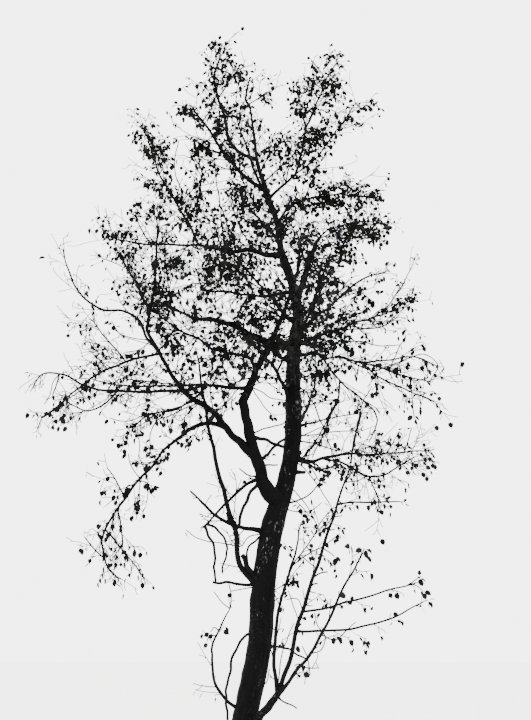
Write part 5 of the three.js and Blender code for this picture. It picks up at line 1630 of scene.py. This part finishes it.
class TREE_OT_bough_bark(bpy.types.Operator):
    """Clothe every bough in bark, each a piece of its own"""

    bl_idname = "tree.bough_bark"
    bl_label = "Bough Bark"

    def execute(self, context):
        sizes = context.scene.tree_sizes
        tree = limb_skin_tree()
        # Near-black shades, partly the bark's own and partly painted shade, with pale flecks that are
        # painted highlights.
        finish = bark_finish("Weathered bough bark", BARK_IN_PAINTED_SHADE, "#484848", ridge_width=0.018,
                             ridge_length=0.11, highlight_cover=(0.62, 0.52), relief=0.003)
        trunk_ridges = (sizes.ridge_height, sizes.ridge_width, sizes.ridge_length)
        ridges = [share * size for share, size in zip(BOUGH_RIDGES, trunk_ridges)]
        for seed, row in enumerate(BOUGHS):
            name, sides = row["name"], MANY_SIDES if row["foot"] > STOUT_FOOT else FEWER_SIDES
            lines = lines_mesh(name, [bough_path(LIMBS[name])])
            keep(grown_mesh(f"{name}_bark", lines, tree, skin(sides, ridges, seed, finish)), "bark", name)
        return {"FINISHED"}


class TREE_OT_dead_wood(bpy.types.Operator):
    """Grow the dead stubs, the hanging dead wood and the thin shoots off the limbs"""

    bl_idname = "tree.dead_wood"
    bl_label = "Dead Wood"

    def execute(self, context):
        parents = {**LIMBS, **stems_by_name(lay_out_masses(LIMBS))}
        paths = [crooked_path(parents[row["on"]], row, DEAD_WOOD_SEED + seed, DEAD_CROOK, DEAD_EXTRA)
                 for seed, row in enumerate(DEAD_WOOD)]
        # Near-black shades, partly the wood's own and partly painted shade, with grey flecks that are
        # painted highlights.
        finish = bark_finish("Dead wood, painted shade and highlights", ["#060606", "#0a0a0a", "#141413"], "#2c2c2c",
                             ridge_width=0.01, ridge_length=0.06, highlight_cover=(0.62, 0.4), relief=0.001)
        inputs = skin(*DEAD_SKIN, DEAD_SKIN_SEED, finish)
        keep(grown_mesh("dead_wood", lines_mesh("dead_wood", paths), limb_skin_tree(), inputs), "bark")
        return {"FINISHED"}


class TREE_OT_crown_stems(bpy.types.Operator):
    """Grow the stems and arms of every part of the crown"""

    bl_idname = "tree.crown_stems"
    bl_label = "Crown Stems"

    def execute(self, context):
        tree = limb_skin_tree()
        # Near-black shades, partly the bark's own and partly painted shade, with faint flecks that are
        # painted highlights.
        finish = bark_finish("Young stem bark, painted shade and highlights", ["#060606", "#0a0a0a", "#111110"], "#202020",
                             ridge_width=0.008, ridge_length=0.05, highlight_cover=(0.62, 0.4), relief=0.001)
        for seed, (part, growth) in enumerate(crown_of(context).items()):
            inputs = skin(*STEM_SKIN, STEM_SKIN_SEED + seed, finish)
            stems = grown_mesh(f"{part}_stems", lines_mesh(part, growth.stems), tree, inputs)
            keep(stems, "leafy_twigs", *CROWN[part])
        return {"FINISHED"}


class TREE_OT_crown_twigs(bpy.types.Operator):
    """Grow the twigs, spurs and shoots of every part of the crown"""

    bl_idname = "tree.crown_twigs"
    bl_label = "Crown Twigs"

    def execute(self, context):
        tree = limb_skin_tree()
        # Near-black shades, partly the bark's own and partly painted shade, with faint flecks that are
        # painted highlights.
        finish = bark_finish("Twig bark, painted shade and highlights", ["#060606", "#0a0a0a", "#0f0f0f"], "#181818",
                             ridge_width=0.004, ridge_length=0.03, highlight_cover=(0.64, 0.4), relief=0.0005)
        for seed, (part, growth) in enumerate(crown_of(context).items()):
            inputs = skin(*TWIG_SKIN, TWIG_SKIN_SEED + seed, finish)
            keep(grown_mesh(f"{part}_twigs", lines_mesh(part, growth.twigs), tree, inputs), "leafy_twigs")
        return {"FINISHED"}


class TREE_OT_crown_leaves(bpy.types.Operator):
    """Hang the last leaves in sprays on the twigs"""

    bl_idname = "tree.crown_leaves"
    bl_label = "Crown Leaves"

    def execute(self, context):
        tree = leaf_tree()
        shapes = {label: leaf_shape(*shape) for label, shape in LEAF_SHAPES.items()}
        finishes = {label: leaf_finish(*finish) for label, finish in LEAF_TONES.items()}
        inputs = {"Leaf Length": context.scene.tree_sizes.leaf_length, **shapes, **finishes}
        for part, growth in crown_of(context).items():
            mesh = bpy.data.meshes.new(part)
            places, *looks = zip(*growth.leaves)
            mesh.from_pydata([tuple(place * MM) for place in places], [], [])
            kinds = ("FLOAT_VECTOR", "FLOAT_VECTOR", "FLOAT", "INT", "INT")
            for name, kind, values in zip(("way", "face", "size", "kind", "tone"), kinds, looks):
                set_attribute(mesh, name, kind, values)
            keep(grown_mesh(f"{part}_leaves", mesh, tree, inputs), "leafy_twigs")
        for shape in shapes.values():
            bpy.data.objects.remove(shape)
        return {"FINISHED"}


class TREE_OT_stage(bpy.types.Operator):
    """Lay the floor, light the tree and stand the camera"""

    bl_idname = "tree.stage"
    bl_label = "Stage"

    def execute(self, context):
        scene = context.scene
        colours, sizes = scene.tree_colours, scene.stage_sizes
        world = bpy.data.worlds.new("Pale sky")
        world.use_nodes = True
        background = world.node_tree.nodes["Background"]
        background.inputs["Color"].default_value = [*colours.sky, 1.0]
        background.inputs["Strength"].default_value = sizes.sky_strength
        scene.world = world
        reach = sizes.floor_radius
        mesh = bpy.data.meshes.new("floor")
        corners = [(-reach, -reach, 0), (reach, -reach, 0), (reach, reach, 0), (-reach, reach, 0)]
        mesh.from_pydata(corners, [], [(0, 1, 2, 3)])
        mesh.materials.append(plaster_finish("Pale floor paint", ["#e4e4e3", "#ececeb"]))
        placed("floor", mesh)
        lamp = bpy.data.lights.new("broad_lamp", "SUN")
        lamp.energy = sizes.sun_strength
        lamp.angle = math.radians(LAMP_WIDTH)
        placed("broad_lamp", lamp).rotation_euler = [math.radians(angle) for angle in LAMP_TURN]
        camera = bpy.data.cameras.new("camera")
        camera.sensor_width = SENSOR
        camera.lens = SENSOR / 2 / math.tan(sizes.camera_field / 2)
        camera.clip_end = FARTHEST
        eye = placed("camera", camera)
        eye.location = sizes.camera_place
        eye.rotation_euler = (math.pi / 2 + sizes.camera_pitch, 0.0, 0.0)
        scene.camera = eye
        return {"FINISHED"}


def crown_of(context):
    """The crown's lines and leaves, grown once for all the operators."""
    if not GROWN:
        GROWN.update(grow_crown(LIMBS, context.scene.tree_sizes))
    return GROWN


OPERATORS = (TREE_OT_trunk_bark, TREE_OT_bough_bark, TREE_OT_dead_wood, TREE_OT_crown_stems,
             TREE_OT_crown_twigs, TREE_OT_crown_leaves, TREE_OT_stage)


class TREE_PT_sidebar(bpy.types.Panel):
    """The tree's sizes and the steps that make it"""

    bl_idname = "TREE_PT_sidebar"
    bl_label = "Tall Thin Tree"
    bl_space_type = "VIEW_3D"
    bl_region_type = "UI"
    bl_category = "Tree"

    def draw(self, context):
        layout = self.layout
        for group in (context.scene.tree_sizes, context.scene.tree_colours, context.scene.stage_sizes):
            box = layout.box()
            for name in group.__annotations__:
                box.prop(group, name)
        for operator in OPERATORS:
            layout.operator(operator.bl_idname)


CLASSES = (TreeSizes, TreeColours, StageSizes, *OPERATORS, TREE_PT_sidebar)


def register():
    """Registers the classes and hangs the settings on the scene."""
    for cls in CLASSES:
        bpy.utils.register_class(cls)
    bpy.types.Scene.tree_sizes = bpy.props.PointerProperty(type=TreeSizes)
    bpy.types.Scene.tree_colours = bpy.props.PointerProperty(type=TreeColours)
    bpy.types.Scene.stage_sizes = bpy.props.PointerProperty(type=StageSizes)


def unregister():
    """Takes the settings off the scene and unregisters the classes."""
    for name in ("stage_sizes", "tree_colours", "tree_sizes"):
        delattr(bpy.types.Scene, name)
    for cls in reversed(CLASSES):
        bpy.utils.unregister_class(cls)


def main():
    """Makes the whole tree and its stage."""
    register()
    for operator in OPERATORS:
        group, name = operator.bl_idname.split(".")
        getattr(getattr(bpy.ops, group), name)()


if __name__ == "__main__":
    main()
